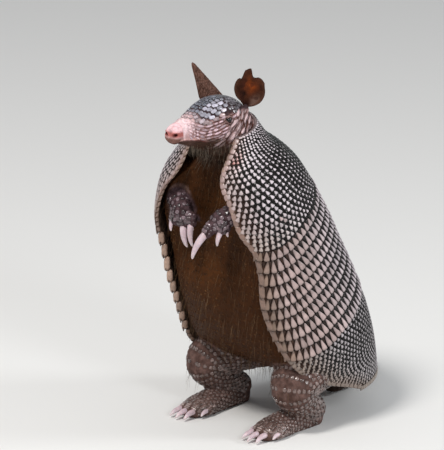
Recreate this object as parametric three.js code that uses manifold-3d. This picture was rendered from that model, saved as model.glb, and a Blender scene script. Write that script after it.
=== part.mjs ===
// Nine-banded armadillo (Dasypus novemcinctus), life size, standing up on its hind legs with the forepaws held
// before the chest. Millimetres, +Z up, the animal faces -Y and its left side is +X. It stands on its two hind
// feet and on the tail, which lies on the ground behind it. The armour is a row of shell plates (scapular
// shield, nine bands, pelvic shield), each a curved plate swept across the back between two rims; the flesh is
// lofted from rings; paws, claws, ears, eyes and the three lengths of tail are pieces of their own.
import * as THREE from 'three';
import { mergeVertices } from 'three/addons/utils/BufferGeometryUtils.js';
import Module from 'manifold-3d';

const wasm = await Module();
wasm.setup();

// ---------------------------------------------------------------- driving dimensions (mm, degrees)
const ORIGIN_X = -75.6;                // the frame origin, in the coordinates that the lofts below are drawn in
const ORIGIN_Y = 8.8;
const GAP = 0.35;                     // clearance between neighbouring solids
const PLATE = 3.2;                    // thickness of the shields and bands
const BAND_COUNT = 9;
const SHIELD_END = 0.328;             // rear margin of the scapular shield, as a share of the back's length
const NOTCH = { depth: 0.075, half: 20 };   // the notch of the pelvic shield's hem over the tail
const PELVIC_START = 0.745;           // front margin of the pelvic shield
const HEAD_YAW = -4;                  // turn of the head to the animal's right
const NOSE = [6.3, -165.7, 311.4];    // middle of the nose disc
const EYE = { u: 63.8, w: 8.2, r: 3.8, sink: 1.7 };
const EAR_LENGTH = 40;
const TAIL_LENGTH_POINTS = [[0, 66, 27], [-12, 112, 19], [-46, 151, 14.8], [-102, 172, 11.4], [-160, 168, 8.4], [-208, 146, 6], [-240, 110, 3.7]];
const TAIL_RADII = [25, 19.6, 15.4, 12, 9, 6.5, 4.2];

// Stations of the back, from the collar behind the head (0) to the hem above the tail (1): the centre of each
// cross ring, the tilt of its dorsal direction, its half-width, its dorsal radius, how far it wraps round each
// side, and how far the chest or belly swells beyond the line between its two rims.
const STATION = [0, 0.07, 0.13, 0.20, 0.28, 0.37, 0.46, 0.56, 0.66, 0.76, 0.88, 1.0];
const CENTRE_Y = [-83, -88, -86.5, -81, -72.5, -61, -51, -40, -28.5, -16, 2, 21];
const CENTRE_Z = [309, 284, 266, 245, 222, 198, 175, 151, 125, 97, 62, 30.5];
const TILT = [26, 28, 29, 30, 30, 30, 30, 30, 29, 25, 16, 6];
const HALF_WIDTH = [36, 55, 70, 79, 83.5, 85.5, 86.5, 87, 88.5, 90, 86, 80];
const RADIUS = [24, 42, 57, 70, 77.5, 82, 86, 88, 91, 93, 90, 76];
const WRAP = [133, 149, 141, 135.5, 128, 128.5, 132, 132.5, 130, 125.5, 114, 84];
const SWELL = [-4, -12, -18, -16, -8, 2, 10, 15, 16, 12, 4, -6];

// The margins of the plates bow along the back: a share of its length, by the share of the way to the rim.
const BOW_AT = [0, 0.5, 0.62, 0.7, 0.76, 0.83, 0.88, 0.94, 1.0];
const BOW = [0, 0, 0.002, 0.005, 0.01, 0.012, 0.009, -0.002, -0.024];

// Head: sections at distances u behind the nose disc: half-width, top, bottom and height of the widest line.
const HEAD_U = [0, 6, 15, 24, 34, 44, 54, 66, 79, 90, 99];
const HEAD_A = [8.8, 9.8, 10.2, 11.4, 14, 16.9, 19.2, 20.8, 21.2, 19.6, 15];
const HEAD_T = [9.4, 11.8, 14.4, 17.4, 21.7, 25.5, 27.7, 28.4, 26.5, 21.7, 16];
const HEAD_B = [-6.4, -8.0, -10.4, -13.4, -17.2, -20.8, -23.6, -25.5, -26, -24.5, -20];

// ---------------------------------------------------------------- small maths
const rad = (d) => d * Math.PI / 180;
const clamp = (v, a, b) => Math.min(b, Math.max(a, v));
const mix = (a, b, t) => a + (b - a) * t;
const smooth = (a, b, x) => { const t = clamp((x - a) / (b - a), 0, 1); return t * t * (3 - 2 * t); };

function hermite(xs, ys, x) {
  const n = xs.length;
  let i = 0;
  while (i < n - 2 && x >= xs[i + 1]) i++;
  const slope = (k) => {
    if (k === 0) return (ys[1] - ys[0]) / (xs[1] - xs[0]);
    if (k === n - 1) return (ys[n - 1] - ys[n - 2]) / (xs[n - 1] - xs[n - 2]);
    const h0 = xs[k] - xs[k - 1], h1 = xs[k + 1] - xs[k];
    return ((ys[k] - ys[k - 1]) / h0 * h1 + (ys[k + 1] - ys[k]) / h1 * h0) / (h0 + h1);
  };
  const h = xs[i + 1] - xs[i], t = clamp((x - xs[i]) / h, 0, 1), t2 = t * t, t3 = t2 * t;
  return (2 * t3 - 3 * t2 + 1) * ys[i] + (t3 - 2 * t2 + t) * h * slope(i)
    + (-2 * t3 + 3 * t2) * ys[i + 1] + (t3 - t2) * h * slope(i + 1);
}

// ---------------------------------------------------------------- solids
function toSolid(geometry) {
  let g = geometry.index ? geometry.clone() : geometry.clone();
  g.deleteAttribute('normal');
  g.deleteAttribute('uv');
  g = mergeVertices(g, 1e-4);
  const pos = g.attributes.position, idx = g.index.array, tri = [];
  for (let i = 0; i < idx.length; i += 3) {
    const a = idx[i], b = idx[i + 1], c = idx[i + 2];
    if (a !== b && b !== c && a !== c) tri.push(a, b, c);
  }
  let vol = 0;
  for (let i = 0; i < tri.length; i += 3) {
    const [a, b, c] = [tri[i], tri[i + 1], tri[i + 2]];
    const ax = pos.getX(a), ay = pos.getY(a), az = pos.getZ(a);
    const bx = pos.getX(b), by = pos.getY(b), bz = pos.getZ(b);
    const cx = pos.getX(c), cy = pos.getY(c), cz = pos.getZ(c);
    vol += ax * (by * cz - bz * cy) - ay * (bx * cz - bz * cx) + az * (bx * cy - by * cx);
  }
  if (vol < 0) for (let i = 0; i < tri.length; i += 3) [tri[i], tri[i + 1]] = [tri[i + 1], tri[i]];
  return new wasm.Manifold(new wasm.Mesh({ numProp: 3, vertProperties: new Float32Array(pos.array), triVerts: new Uint32Array(tri) }));
}

function mapped(geometry, f) {
  const pos = geometry.attributes.position;
  for (let i = 0; i < pos.count; i++) {
    const p = f(pos.getX(i), pos.getY(i), pos.getZ(i));
    pos.setXYZ(i, p[0], p[1], p[2]);
  }
  return toSolid(geometry);
}

// A closed loft: f(angle round, share along, 1 on the surface or 0 at the middle of an end).
function loft(around, along, f) {
  const g = new THREE.CylinderGeometry(1, 1, 1, around, along);
  return mapped(g, (x, y, z) => f(Math.atan2(x, z), 0.5 - y, Math.hypot(x, z) > 0.5 ? 1 : 0));
}

// A plate: f(across -1..1, along 0..1, through 0..1).
function plate(nu, nv, f, nw = 1) {
  return mapped(new THREE.BoxGeometry(1, 1, 1, nu, nv, nw), (x, y, z) => f(2 * x, 0.5 - y, z + 0.5));
}

// A round limb along a smooth curve, with domed ends: half-widths across and radii in height.
function limb(points, across, height, around, along, grow = 0, up = [0, 0, 1], floor = null) {
  const curve = new THREE.CatmullRomCurve3(points.map((p) => new THREE.Vector3(...p)), false, 'centripetal');
  const n = points.length, ks = points.map((_, i) => i / (n - 1)), U = new THREE.Vector3(...up);
  return loft(around, along, (ang, t, r) => {
    // the first and last tenth of the rings dome the ends
    const cap = 0.16, lo = clamp(t / cap, 0, 1), hi = clamp((1 - t) / cap, 0, 1);
    const k = t < cap ? 0 : t > 1 - cap ? 1 : (t - cap) / (1 - 2 * cap);
    const c = curve.getPoint(k), tan = curve.getTangent(k).normalize();
    const side = new THREE.Vector3().crossVectors(tan, U).normalize(), top = new THREE.Vector3().crossVectors(side, tan);
    const a = hermite(ks, across, k) + grow, b = hermite(ks, height, k) + grow;
    let s = 1, push = 0;
    if (t < cap) { s = Math.sin(lo * Math.PI / 2) * 0.88 + 0.12; push = -Math.cos(lo * Math.PI / 2) * Math.min(a, b) * 0.8; }
    if (t > 1 - cap) { s = Math.sin(hi * Math.PI / 2) * 0.88 + 0.12; push = Math.cos(hi * Math.PI / 2) * Math.min(a, b) * 0.8; }
    const q = c.clone().addScaledVector(tan, push).addScaledVector(side, a * s * r * Math.sin(ang)).addScaledVector(top, b * s * r * Math.cos(ang));
    return [q.x, q.y, floor === null ? q.z : Math.max(q.z, floor)];
  });
}

// The same solid swollen by a clearance, every vertex along its own normal.
function grown(solid, g) {
  const m = solid.getMesh(), n = m.numProp, V = [], N = [], F = [];
  for (let i = 0; i < m.vertProperties.length; i += n) { V.push(new THREE.Vector3(m.vertProperties[i], m.vertProperties[i + 1], m.vertProperties[i + 2])); N.push(new THREE.Vector3()); F.push([]); }
  for (let i = 0; i < m.triVerts.length; i += 3) {
    const t = [m.triVerts[i], m.triVerts[i + 1], m.triVerts[i + 2]];
    const e = new THREE.Vector3().crossVectors(V[t[1]].clone().sub(V[t[0]]), V[t[2]].clone().sub(V[t[0]])).normalize();
    t.forEach((v, j) => { const a = V[t[(j + 1) % 3]].clone().sub(V[v]).angleTo(V[t[(j + 2) % 3]].clone().sub(V[v])); N[v].addScaledVector(e, a); F[v].push(e); });
  }
  const out = new Float32Array(V.length * 3);
  V.forEach((v, i) => { const d = N[i].normalize(), k = Math.max(0.45, Math.min(...F[i].map((e) => e.dot(d)))); v.clone().addScaledVector(d, g / k).toArray(out, 3 * i); });
  return new wasm.Manifold(new wasm.Mesh({ numProp: 3, vertProperties: out, triVerts: new Uint32Array(m.triVerts) }));
}

const largest = (m) => {
  const parts = m.decompose();
  return parts.reduce((a, b) => (b.volume() > a.volume() ? b : a), parts[0]);
};

// ---------------------------------------------------------------- the back
const at = (table, s) => hermite(STATION, table, s);
function ring(s, x, n) {   // a point of the ring plane at s: x across, n towards the back
  const f = rad(at(TILT, s));
  return [x, at(CENTRE_Y, s) + Math.cos(f) * n, at(CENTRE_Z, s) + Math.sin(f) * n];
}
function shell(s, ang, d) {   // d is the distance out of the armour's outer face
  return ring(s, (at(HALF_WIDTH, s) + d) * Math.sin(ang), (at(RADIUS, s) + d) * Math.cos(ang));
}
const wrap = (s) => rad(at(WRAP, s));
const bowed = (s, f) => s + hermite(BOW_AT, BOW, Math.abs(f)) * smooth(0, 0.2, s) * smooth(1, 0.86, s);

// the hem of the pelvic shield has a notch for the tail
function armour(s0, s1, nu, nv, front, back, inner = -PLATE, extra = 0) {
  return plate(nu, nv, (u, v, w) => {
    const notch = s1 > 0.99 ? NOTCH.depth * Math.exp(-Math.pow(u * wrap(1) / rad(NOTCH.half), 2)) : 0;
    const s = bowed(mix(s0, s1 - notch, v), u), e = 0.4 * smooth(0.9, 1, Math.abs(u));
    const outer = mix(front, back, v) - e;
    return shell(s, u * (wrap(s) + extra), mix(inner, outer, w));
  });
}
const pitch = (PELVIC_START - SHIELD_END) / BAND_COUNT, seam = 0.0016;
const scapularShield = armour(0, SHIELD_END, 16, 8, 0, 0.9);
const pelvicShield = armour(PELVIC_START + seam, 1, 16, 6, -1.6, 0);
const bands = Array.from({ length: BAND_COUNT }, (_, i) => armour(SHIELD_END + i * pitch + seam, SHIELD_END + (i + 1) * pitch - seam * 0.2, 16, 1, -1.6, 0.7));
const shellCutter = armour(-0.0, 1.0, 24, 16, 34, 34, -PLATE - 0.7 - GAP, rad(0.6)).add(grown(pelvicShield, GAP)).add(grown(scapularShield, GAP));

function trunk(grow) {
  return loft(20, 12, (ang, t, r) => {
    const lo = clamp(t / 0.1, 0, 1), hi = clamp((1 - t) / 0.1, 0, 1);
    const s = mix(0.1 - grow * 0.006, 0.955 + grow * 0.006, clamp((t - 0.05) / 0.9, 0, 1)) + 0.02 * (1 - hi) * 1.2 - 0.012 * (1 - lo);
    const k = Math.min(Math.sin(lo * Math.PI / 2) * 0.9 + 0.1, Math.sin(hi * Math.PI / 2) * 0.72 + 0.28) * r;
    const th = wrap(s) - rad(3), inset = -PLATE - 1.3 - GAP + grow;
    const w = Math.abs(ang), sg = Math.sign(ang) || 1;
    // spread the ring's vertices evenly over the back (0..th) and the belly (th..180)
    const share = 0.72 * Math.PI;
    let x, n;
    const tuck = (a) => inset - 4.5 * smooth(th - rad(30), th, a);
    const rx = (at(HALF_WIDTH, s) + tuck(th)) * Math.sin(th), rn = (at(RADIUS, s) + tuck(th)) * Math.cos(th);
    if (w <= share) {
      const a = w / share * th;
      x = (at(HALF_WIDTH, s) + tuck(a)) * Math.sin(a); n = (at(RADIUS, s) + tuck(a)) * Math.cos(a);
    } else {
      const q = (w - share) / (Math.PI - share) * Math.PI / 2;
      x = rx * Math.cos(q); n = rn - (at(SWELL, s) + grow) * Math.sin(q);
    }
    const mid = (at(RADIUS, s) + rn) * 0.4 * 0.5;
    return ring(s, sg * x * k, mid + (n - mid) * k);
  });
}
const trunkSolid = trunk(0), trunkCutter = grown(trunkSolid, GAP).add(trunkSolid);

// ---------------------------------------------------------------- head
const yaw = rad(HEAD_YAW), FWD = [-Math.sin(yaw), -Math.cos(yaw), 0], LEFT = [Math.cos(yaw), -Math.sin(yaw), 0];
const inHead = (u, v, w) => [0, 1, 2].map((i) => NOSE[i] - u * FWD[i] + v * LEFT[i] + (i === 2 ? w : 0));
const hd = (table, u) => hermite(HEAD_U, table, u);

function headLoft(grow, around = 16, along = 12) {
  return loft(around, along, (ang, t, r) => {
    const lo = clamp(t / 0.06, 0, 1), hi = clamp((1 - t) / 0.14, 0, 1);
    const u = mix(0, HEAD_U[10], clamp((t - 0.03) / 0.9, 0, 1)) + (1 - Math.sin(hi * Math.PI / 2)) * (3 + grow) - (1 - lo) * grow;
    const k = Math.min(0.8 + 0.2 * Math.sin(lo * Math.PI / 2), 0.25 + 0.75 * Math.sin(hi * Math.PI / 2)) * r;
    const a = hd(HEAD_A, u) + grow, top = hd(HEAD_T, u) + grow, bot = hd(HEAD_B, u) - grow;
    const c = mix(-1, -4, smooth(10, 60, u));           // the widest line
    const cx = Math.sin(ang), cz = Math.cos(ang);
    // flatter cheeks and crown than an ellipse
    const e = 2.35, m = Math.pow(Math.pow(Math.abs(cx), e) + Math.pow(Math.abs(cz), e), -1 / e);
    let x = a * cx * m, z = cz > 0 ? (top - c) * cz * m : (c - bot) * cz * m;
    // the jaw narrows towards the chin
    if (cz < 0) x *= 1 - 0.22 * smooth(0, 1, -cz * m);
    return inHead(u, x * k, c + z * k);
  });
}
function capRegion(grow) {      // where the plates of the head lie: a wedge from the bridge of the nose to between the ears
  return mapped(new THREE.BoxGeometry(1, 1, 1, 1, 5, 1), (x, y, z) => {
    const t = 0.5 - y, u = mix(25 - grow, 92 + grow, t);
    const side = mix(9.5, 30, smooth(0, 0.45, t)) + grow, low = mix(13.5, 11.5, t) - grow * 0.6;
    const narrow = t > 0.8 ? mix(1, 0.4, (t - 0.8) / 0.2) : 1;
    return inHead(u, 2 * x * side * narrow, z > 0 ? 60 : low + Math.max(0, (t - 0.8)) * 20);
  });
}
const eyeCentre = (sg) => inHead(EYE.u, sg * (hd(HEAD_A, EYE.u) * 0.975 - EYE.sink), EYE.w);
function eyeSolid(sg, grow) {
  const c = eyeCentre(sg);
  return mapped(new THREE.SphereGeometry(EYE.r + grow, 9, 5), (x, y, z) => [c[0] + x, c[1] + y, c[2] + z]);
}

const headFull = headLoft(0), headCutter = headLoft(GAP);
const headShield = largest(headLoft(0.7).subtract(headLoft(-0.9)).intersect(capRegion(0)));
let head = headFull.subtract(capRegion(GAP).subtract(headLoft(-0.9 - GAP)));
for (const sg of [-1, 1]) head = head.subtract(eyeSolid(sg, GAP));
head = largest(head.subtract(shellCutter).subtract(trunkCutter));

// ---------------------------------------------------------------- neck
// A round column, and the nape behind the ears that fills the collar of the shield.
const NAPE = { u: 92, w: -8, radii: [20, 29, 20] };
function neckLoft(grow) {
  const P = [[0, -84, 258], [0, -85, 284], [0.5, -87, 302], [1.5, -88, 316]];
  const A = [27, 28.5, 29, 23], B = [20, 21, 21.5, 17];
  return limb(P, A, B, 10, 5, grow, [0, 1, 0.3]);
}
function napeSolid(grow) {
  const [a, b, c] = NAPE.radii;
  return mapped(new THREE.SphereGeometry(1, 10, 7), (x, y, z) => inHead(NAPE.u + (a + grow) * z, (b + grow) * x, NAPE.w + (c + grow) * y));
}
const capCutter = headLoft(0.7 + GAP).intersect(capRegion(GAP));
const neck = largest(neckLoft(0).add(napeSolid(0)).subtract(headCutter).subtract(capCutter).subtract(trunkCutter).subtract(shellCutter));
const neckCutter = neckLoft(GAP).add(napeSolid(GAP));

// ---------------------------------------------------------------- ears: a trough narrowing to a tube at its foot
const EAR_T = [0, 0.1, 0.2, 0.32, 0.47, 0.64, 0.82, 0.93, 1.0];
const EAR_H = [4.6, 6.2, 9.6, 12.8, 14.6, 14.4, 11.4, 7.2, 3.0];      // half-width
const EAR_WRAP = [150, 138, 122, 106, 86, 68, 52, 44, 36];             // how far each side curls round
// The left ear is torn: its height against the share across, and how far it reaches to the front and the back.
const TORN = [[-1, 0.735], [-0.8, 0.75], [-0.64, 0.75], [-0.6, 0.8], [-0.55, 0.9], [-0.4, 0.96], [-0.2, 1.0], [-0.06, 0.985], [0, 0.93], [0.1, 0.82], [0.2, 0.795], [0.3, 0.8], [0.45, 0.825], [0.65, 0.825], [0.85, 0.8], [1, 0.765]];
const LEAF_T = [0, 0.02, 0.045, 0.09, 0.16, 0.24, 0.33, 0.41, 0.49, 0.58, 0.66, 0.75, 0.85, 1.0];
const LEAF_FRONT = [1.2, 1.6, 2.2, 3.6, 5.8, 9.0, 11.5, 12.9, 13.8, 14.0, 13.5, 12.0, 12.0, 12.0];
const LEAF_BACK = [1.4, 3.4, 6.4, 10.1, 12.4, 14.0, 15.4, 15.9, 16.0, 15.8, 14.9, 14.0, 13.2, 12.5];
const LEAF_WRAP = [80, 78, 75, 72, 70, 68, 66, 64, 62, 60, 58, 54, 50, 44];
function ear(sg) {
  const [u0, v0, w0] = sg > 0 ? [88.5, 18.6, 14.5] : [88.9, 13.4, 16];
  const lean = sg > 0 ? [-0.5, 9, 39] : [-19.5, -27, 37.9];      // back, left, up
  const k = new THREE.Vector3(...[0, 1, 2].map((i) => -lean[0] * FWD[i] + lean[1] * LEFT[i] + (i === 2 ? lean[2] : 0))).normalize();
  const face = sg > 0 ? [0.8, 0.6] : [0.588, -0.809];            // forward, left
  let m = new THREE.Vector3(...[0, 1, 2].map((i) => face[0] * FWD[i] + face[1] * LEFT[i]));
  m.addScaledVector(k, -m.dot(k)).normalize();
  const q = new THREE.Vector3().crossVectors(k, m).multiplyScalar(1);   // across the ear
  const L = sg > 0 ? EAR_LENGTH : EAR_LENGTH + 7, base = inHead(u0, sg * v0, w0);
  return plate(sg > 0 ? 12 : 10, sg > 0 ? 7 : 6, (x, t, w) => {
    const T = sg > 0 ? hermite(TORN.map((p) => p[0]), TORN.map((p) => p[1]), x) : 1;
    const y = t * mix(1, T, smooth(0.3, 1, t));
    const h = sg > 0 ? hermite(LEAF_T, x < 0 ? LEAF_FRONT : LEAF_BACK, y) : hermite(EAR_T, EAR_H, y) * mix(0.97, 0.79, smooth(0.32, 0.9, y));
    const f = rad(hermite(sg > 0 ? LEAF_T : EAR_T, sg > 0 ? LEAF_WRAP : EAR_WRAP, y));
    const R = h / Math.sin(Math.min(f, Math.PI / 2)), th = mix(2.2, 1.5, y);
    const rr = R + w * th - th * 0.5;
    const P = new THREE.Vector3(...base).addScaledVector(k, L * y).addScaledVector(m, R - 5);
    P.addScaledVector(q, rr * Math.sin(x * f)).addScaledVector(m, -rr * Math.cos(x * f));
    return [P.x, P.y, P.z];
  });
}
const ears = {};
for (const [name, sg] of [['left', 1], ['right', -1]]) ears[name] = largest(ear(sg).subtract(headCutter).subtract(capCutter).subtract(neckCutter));

// ---------------------------------------------------------------- claws
// A claw grows from its root along a direction, bends towards another and tapers to a blunt point.
function claw(root, dir, bend, length, width, height) {
  const D = new THREE.Vector3(...dir).normalize(), Bn = new THREE.Vector3(...bend).normalize(), o = new THREE.Vector3(...root);
  const side = new THREE.Vector3().crossVectors(D, Bn).normalize();
  return loft(6, 3, (ang, t, r) => {
    const a = t * 0.85, c = o.clone().addScaledVector(D, length * Math.sin(a) / 0.85).addScaledVector(Bn, length * (1 - Math.cos(a)) / 0.85);
    const tan = D.clone().multiplyScalar(Math.cos(a)).addScaledVector(Bn, Math.sin(a)), top = new THREE.Vector3().crossVectors(side, tan);
    const k = (1 - 0.74 * Math.pow(t, 3)) * r;
    c.addScaledVector(side, width * k * Math.sin(ang)).addScaledVector(top, height * k * Math.cos(ang));
    return [c.x, c.y, c.z];
  });
}

// ---------------------------------------------------------------- forelegs and forepaws
// Each paw: the wrist, the palm, and four toes given by root, tip and size; the middle two claws are longest.
const PAW = {
  left: {
    sg: 1, elbow: [54, -84, 214], wrist: [40, -110, 236], palm: [31.6, -122.5, 226], palmWidth: [9, 10.5, 9.5],
    toes: [
      { root: [20.5, -131, 215], tip: [18.6, -139.5, 200.5], size: 2.5 },
      { root: [27, -136, 216], tip: [18.9, -155.5, 189], size: 4.5 },
      { root: [37.2, -126, 218.5], tip: [35.2, -134.5, 201], size: 3.4 },
      { root: [39.2, -120.8, 219.6], tip: [41.2, -123.6, 209.5], size: 2.5 },
    ],
  },
  right: {
    sg: -1, elbow: [-55, -84, 214], wrist: [-39, -108, 234], palm: [-29.5, -115.5, 221], palmWidth: [10, 12, 11.5],
    toes: [
      { root: [-21, -108, 212], tip: [-19, -110.5, 201], size: 2.3 },
      { root: [-15.2, -115.4, 213.4], tip: [-9.6, -123, 187.4], size: 4.0 },
      { root: [-23.6, -117.4, 211.4], tip: [-16.4, -123, 185.2], size: 4.4 },
      { root: [-36.5, -119, 215], tip: [-36.4, -125.6, 200], size: 3.1 },
    ],
  },
};
function toeAndClaw(toe, up) {
  const r = new THREE.Vector3(...toe.root), d = new THREE.Vector3(...toe.tip).sub(r), L = d.length();
  d.normalize();
  const knuckle = r.clone().addScaledVector(d, -6), end = r.clone().addScaledVector(d, 2.5);
  const toeSolid = (grow) => limb([knuckle.toArray(), r.toArray(), end.toArray()], [toe.size + 1.6, toe.size + 1.5, toe.size + 0.7], [toe.size + 1.4, toe.size + 1.3, toe.size + 0.5], 6, 4, grow, up);
  // the claw curls down and back at its tip
  const bendTo = new THREE.Vector3(...up).multiplyScalar(-1), side = bendTo.addScaledVector(d, -bendTo.dot(d)).normalize();
  const dir = d.clone().addScaledVector(side, -0.34).normalize();
  const clawSolid = claw(r.clone().addScaledVector(d, -1).toArray(), dir.toArray(), side.toArray(), L * 1.06, toe.size * 0.82, toe.size * 0.74);
  return { toeSolid, clawSolid };
}
const nodes = [];
const add = (name, solid, color, roughness = 0.75) => nodes.push({ name, solid, color, roughness });

function forelimb(side) {
  const p = PAW[side];
  const legOf = (g) => limb([[p.sg * 50, -78, 226], p.elbow, [mix(p.elbow[0], p.wrist[0], 0.5), mix(p.elbow[1], p.wrist[1], 0.55), mix(p.elbow[2], p.wrist[2], 0.5) + 2], p.wrist],
    [20, 17, 13.5, 11], [20, 17, 13, 9.5], 10, 8, g, [0, -0.3, 1]);
  const palmOf = (g) => limb([[p.wrist[0], p.wrist[1] - 2, p.wrist[2] - 3], p.palm, [p.palm[0] * 0.96, p.palm[1] - 3, p.palm[2] - 8]], p.palmWidth, [8.5, 9, 7], 8, 6, g, [0, -1, 0.2]);
  let foot = palmOf(0);
  const claws = [];
  for (const toe of p.toes) {
    const { toeSolid, clawSolid } = toeAndClaw(toe, [0, -1, 0.35]);
    foot = foot.add(toeSolid(0));
    claws.push({ clawSolid, toeSolid });
  }
  const leg = largest(legOf(0).subtract(palmOf(GAP)).subtract(trunkCutter).subtract(shellCutter));
  foot = largest(foot.subtract(trunkCutter).subtract(shellCutter));
  let cut = palmOf(GAP);
  for (const c of claws) cut = cut.add(c.toeSolid(GAP));
  // the leg also keeps clear of the toes
  add(`foreleg_${side}`, largest(leg.subtract(cut)), 0x4a382f);
  add(`forefoot_${side}`, foot, 0x6b5753);
  claws.forEach((c, i) => add(`fore_claw_${side}_${i + 1}`, largest(c.clawSolid.subtract(cut)), 0xd8c0b4, 0.4));
}

// ---------------------------------------------------------------- hind legs and feet
function hindlimb(side) {
  const sg = side === 'left' ? 1 : -1;
  const legOf = (g) => limb([[sg * 40, 22, 58], [sg * 52, -22, 60], [sg * 60, -50, 46], [sg * 55, -30, 26], [sg * 51, -12, 15]],
    [26, 27, 21.5, 16, 13], [30, 30, 23, 16, 12.5], 10, 8, g, [sg, 0.25, 0.1]);
  const footOf = (g) => limb([[sg * 50.5, -14, 8], [sg * 50, -44, 8.2], [sg * 50, -70, 6.6], [sg * 50.5, -84, 5]], [12, 14, 17, 14], [14.5, 14.3, 11, 8], 9, 6, g, [0, 0, 1], g ? null : 0);
  const toes = [-15, -8, 0, 8, 14.5].map((x, i) => {
    const inner = i === 0 || i === 4, y = inner ? -73 : i === 2 ? -87 : -85, L = inner ? 15 : 21;
    const a = x * 0.012, size = inner ? 2.9 : 3.6;
    const root = [sg * (50 + x * (inner ? 0.98 : 1)), y, 5.6], d = [Math.sin(a) * sg, -Math.cos(a), -0.1];
    return { root, d, L, size };
  });
  let foot = footOf(0), cut = footOf(GAP);
  const claws = [];
  for (const t of toes) {
    const toe = (g) => limb([[t.root[0] - t.d[0] * 9, t.root[1] - t.d[1] * 9, 6.4], t.root, [t.root[0] + t.d[0] * 3, t.root[1] + t.d[1] * 3, 5]], [t.size + 1, t.size + 0.9, t.size + 0.2], [t.size + 1.6, t.size + 1, t.size], 6, 4, g, [0, 0, 1], g ? null : 0);
    foot = foot.add(toe(0));
    cut = cut.add(toe(GAP));
    claws.push(claw([t.root[0] + t.d[0], t.root[1] + t.d[1], 6.4], [t.d[0], t.d[1], 0.2], [0, 0, -1], t.L * 0.9, t.size * 0.85, t.size * 0.7));
  }
  const leg = largest(legOf(0).subtract(trunkCutter).subtract(shellCutter).subtract(footOf(GAP)));
  add(`hindleg_${side}`, largest(leg.subtract(cut)), 0x4a382f);
  add(`hindfoot_${side}`, largest(foot), 0x6b5753);
  claws.forEach((c, i) => add(`hind_claw_${side}_${i + 1}`, largest(c.subtract(cut)), 0xd8c0b4, 0.4));
}

// ---------------------------------------------------------------- tail: three lengths, flat where it lies
const tailCurve = new THREE.CatmullRomCurve3(TAIL_LENGTH_POINTS.map((p) => new THREE.Vector3(...p)), false, 'centripetal');
function tailLength(k0, k1, along, closeTip) {
  const ks = TAIL_RADII.map((_, i) => i / (TAIL_RADII.length - 1));
  return loft(10, along, (ang, t, r) => {
    const k = mix(k0, k1, t), c = tailCurve.getPoint(k), tan = tailCurve.getTangent(k).normalize();
    const side = new THREE.Vector3().crossVectors(tan, new THREE.Vector3(0, 0, 1)).normalize(), top = new THREE.Vector3().crossVectors(side, tan);
    let R = hermite(ks, TAIL_RADII, k);
    if (closeTip && t > 0.88) R *= Math.sqrt(Math.max(0.08, 1 - Math.pow((t - 0.88) / 0.12, 2)));
    c.addScaledVector(side, R * r * Math.sin(ang)).addScaledVector(top, R * r * Math.cos(ang));
    return [c.x, c.y, Math.max(c.z, 0)];
  });
}

// ---------------------------------------------------------------- the armour's plates
add('trunk', trunkSolid, 0x3a2418, 0.85);
add('neck', neck, 0x8c7168);
add('head', head, 0xa88b82, 0.55);
add('head_shield', headShield, 0x8d8d8f, 0.4);
for (const s of ['left', 'right']) add(`ear_${s}`, ears[s], 0x6a4a3e, 0.7);
for (const [s, sg] of [['left', 1], ['right', -1]]) add(`eye_${s}`, eyeSolid(sg, 0), 0x0a0808, 0.1);
add('scapular_shield', scapularShield, 0x4b4744, 0.55);
bands.forEach((b, i) => add(`band_${i + 1}`, b, 0x6d5f57, 0.55));
add('pelvic_shield', pelvicShield, 0x45413e, 0.55);
const tailGap = 0.0016;
add('tail_base', largest(tailLength(0.03, 0.36, 7, false).subtract(trunkCutter).subtract(shellCutter)), 0x55504c, 0.6);
add('tail_mid', tailLength(0.36 + tailGap, 0.68, 7, false), 0x5a5450, 0.6);
add('tail_tip', tailLength(0.68 + tailGap, 1, 8, true), 0x6a625c, 0.6);
forelimb('left'); forelimb('right'); hindlimb('left'); hindlimb('right');

// ---------------------------------------------------------------- the scene graph
const armadillo = new THREE.Group();
for (const n of nodes) {
  const m = n.solid.getMesh(), g = new THREE.BufferGeometry();
  const v = new Float32Array(m.vertProperties.length / m.numProp * 3);
  for (let i = 0; i < v.length / 3; i++) for (let j = 0; j < 3; j++) v[3 * i + j] = m.vertProperties[i * m.numProp + j];
  g.setAttribute('position', new THREE.BufferAttribute(v, 3));
  g.setIndex(new THREE.BufferAttribute(new Uint32Array(m.triVerts), 1));
  g.computeVertexNormals();
  const mesh = new THREE.Mesh(g, new THREE.MeshStandardMaterial({ color: n.color, roughness: n.roughness, metalness: 0 }));
  mesh.name = n.name;
  armadillo.add(mesh);
}
armadillo.position.set(-ORIGIN_X, -ORIGIN_Y, 0);

export default armadillo;
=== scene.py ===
"""Nine-banded armadillo standing up on its hind legs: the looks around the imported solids. Metres, +Z up, the
animal faces -Y. One skin stands for the flesh; the armour is base plates with a coat of modelled scutes."""
import json
import math

import bmesh
import bpy
import numpy as np
from mathutils import Matrix, Vector


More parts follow.
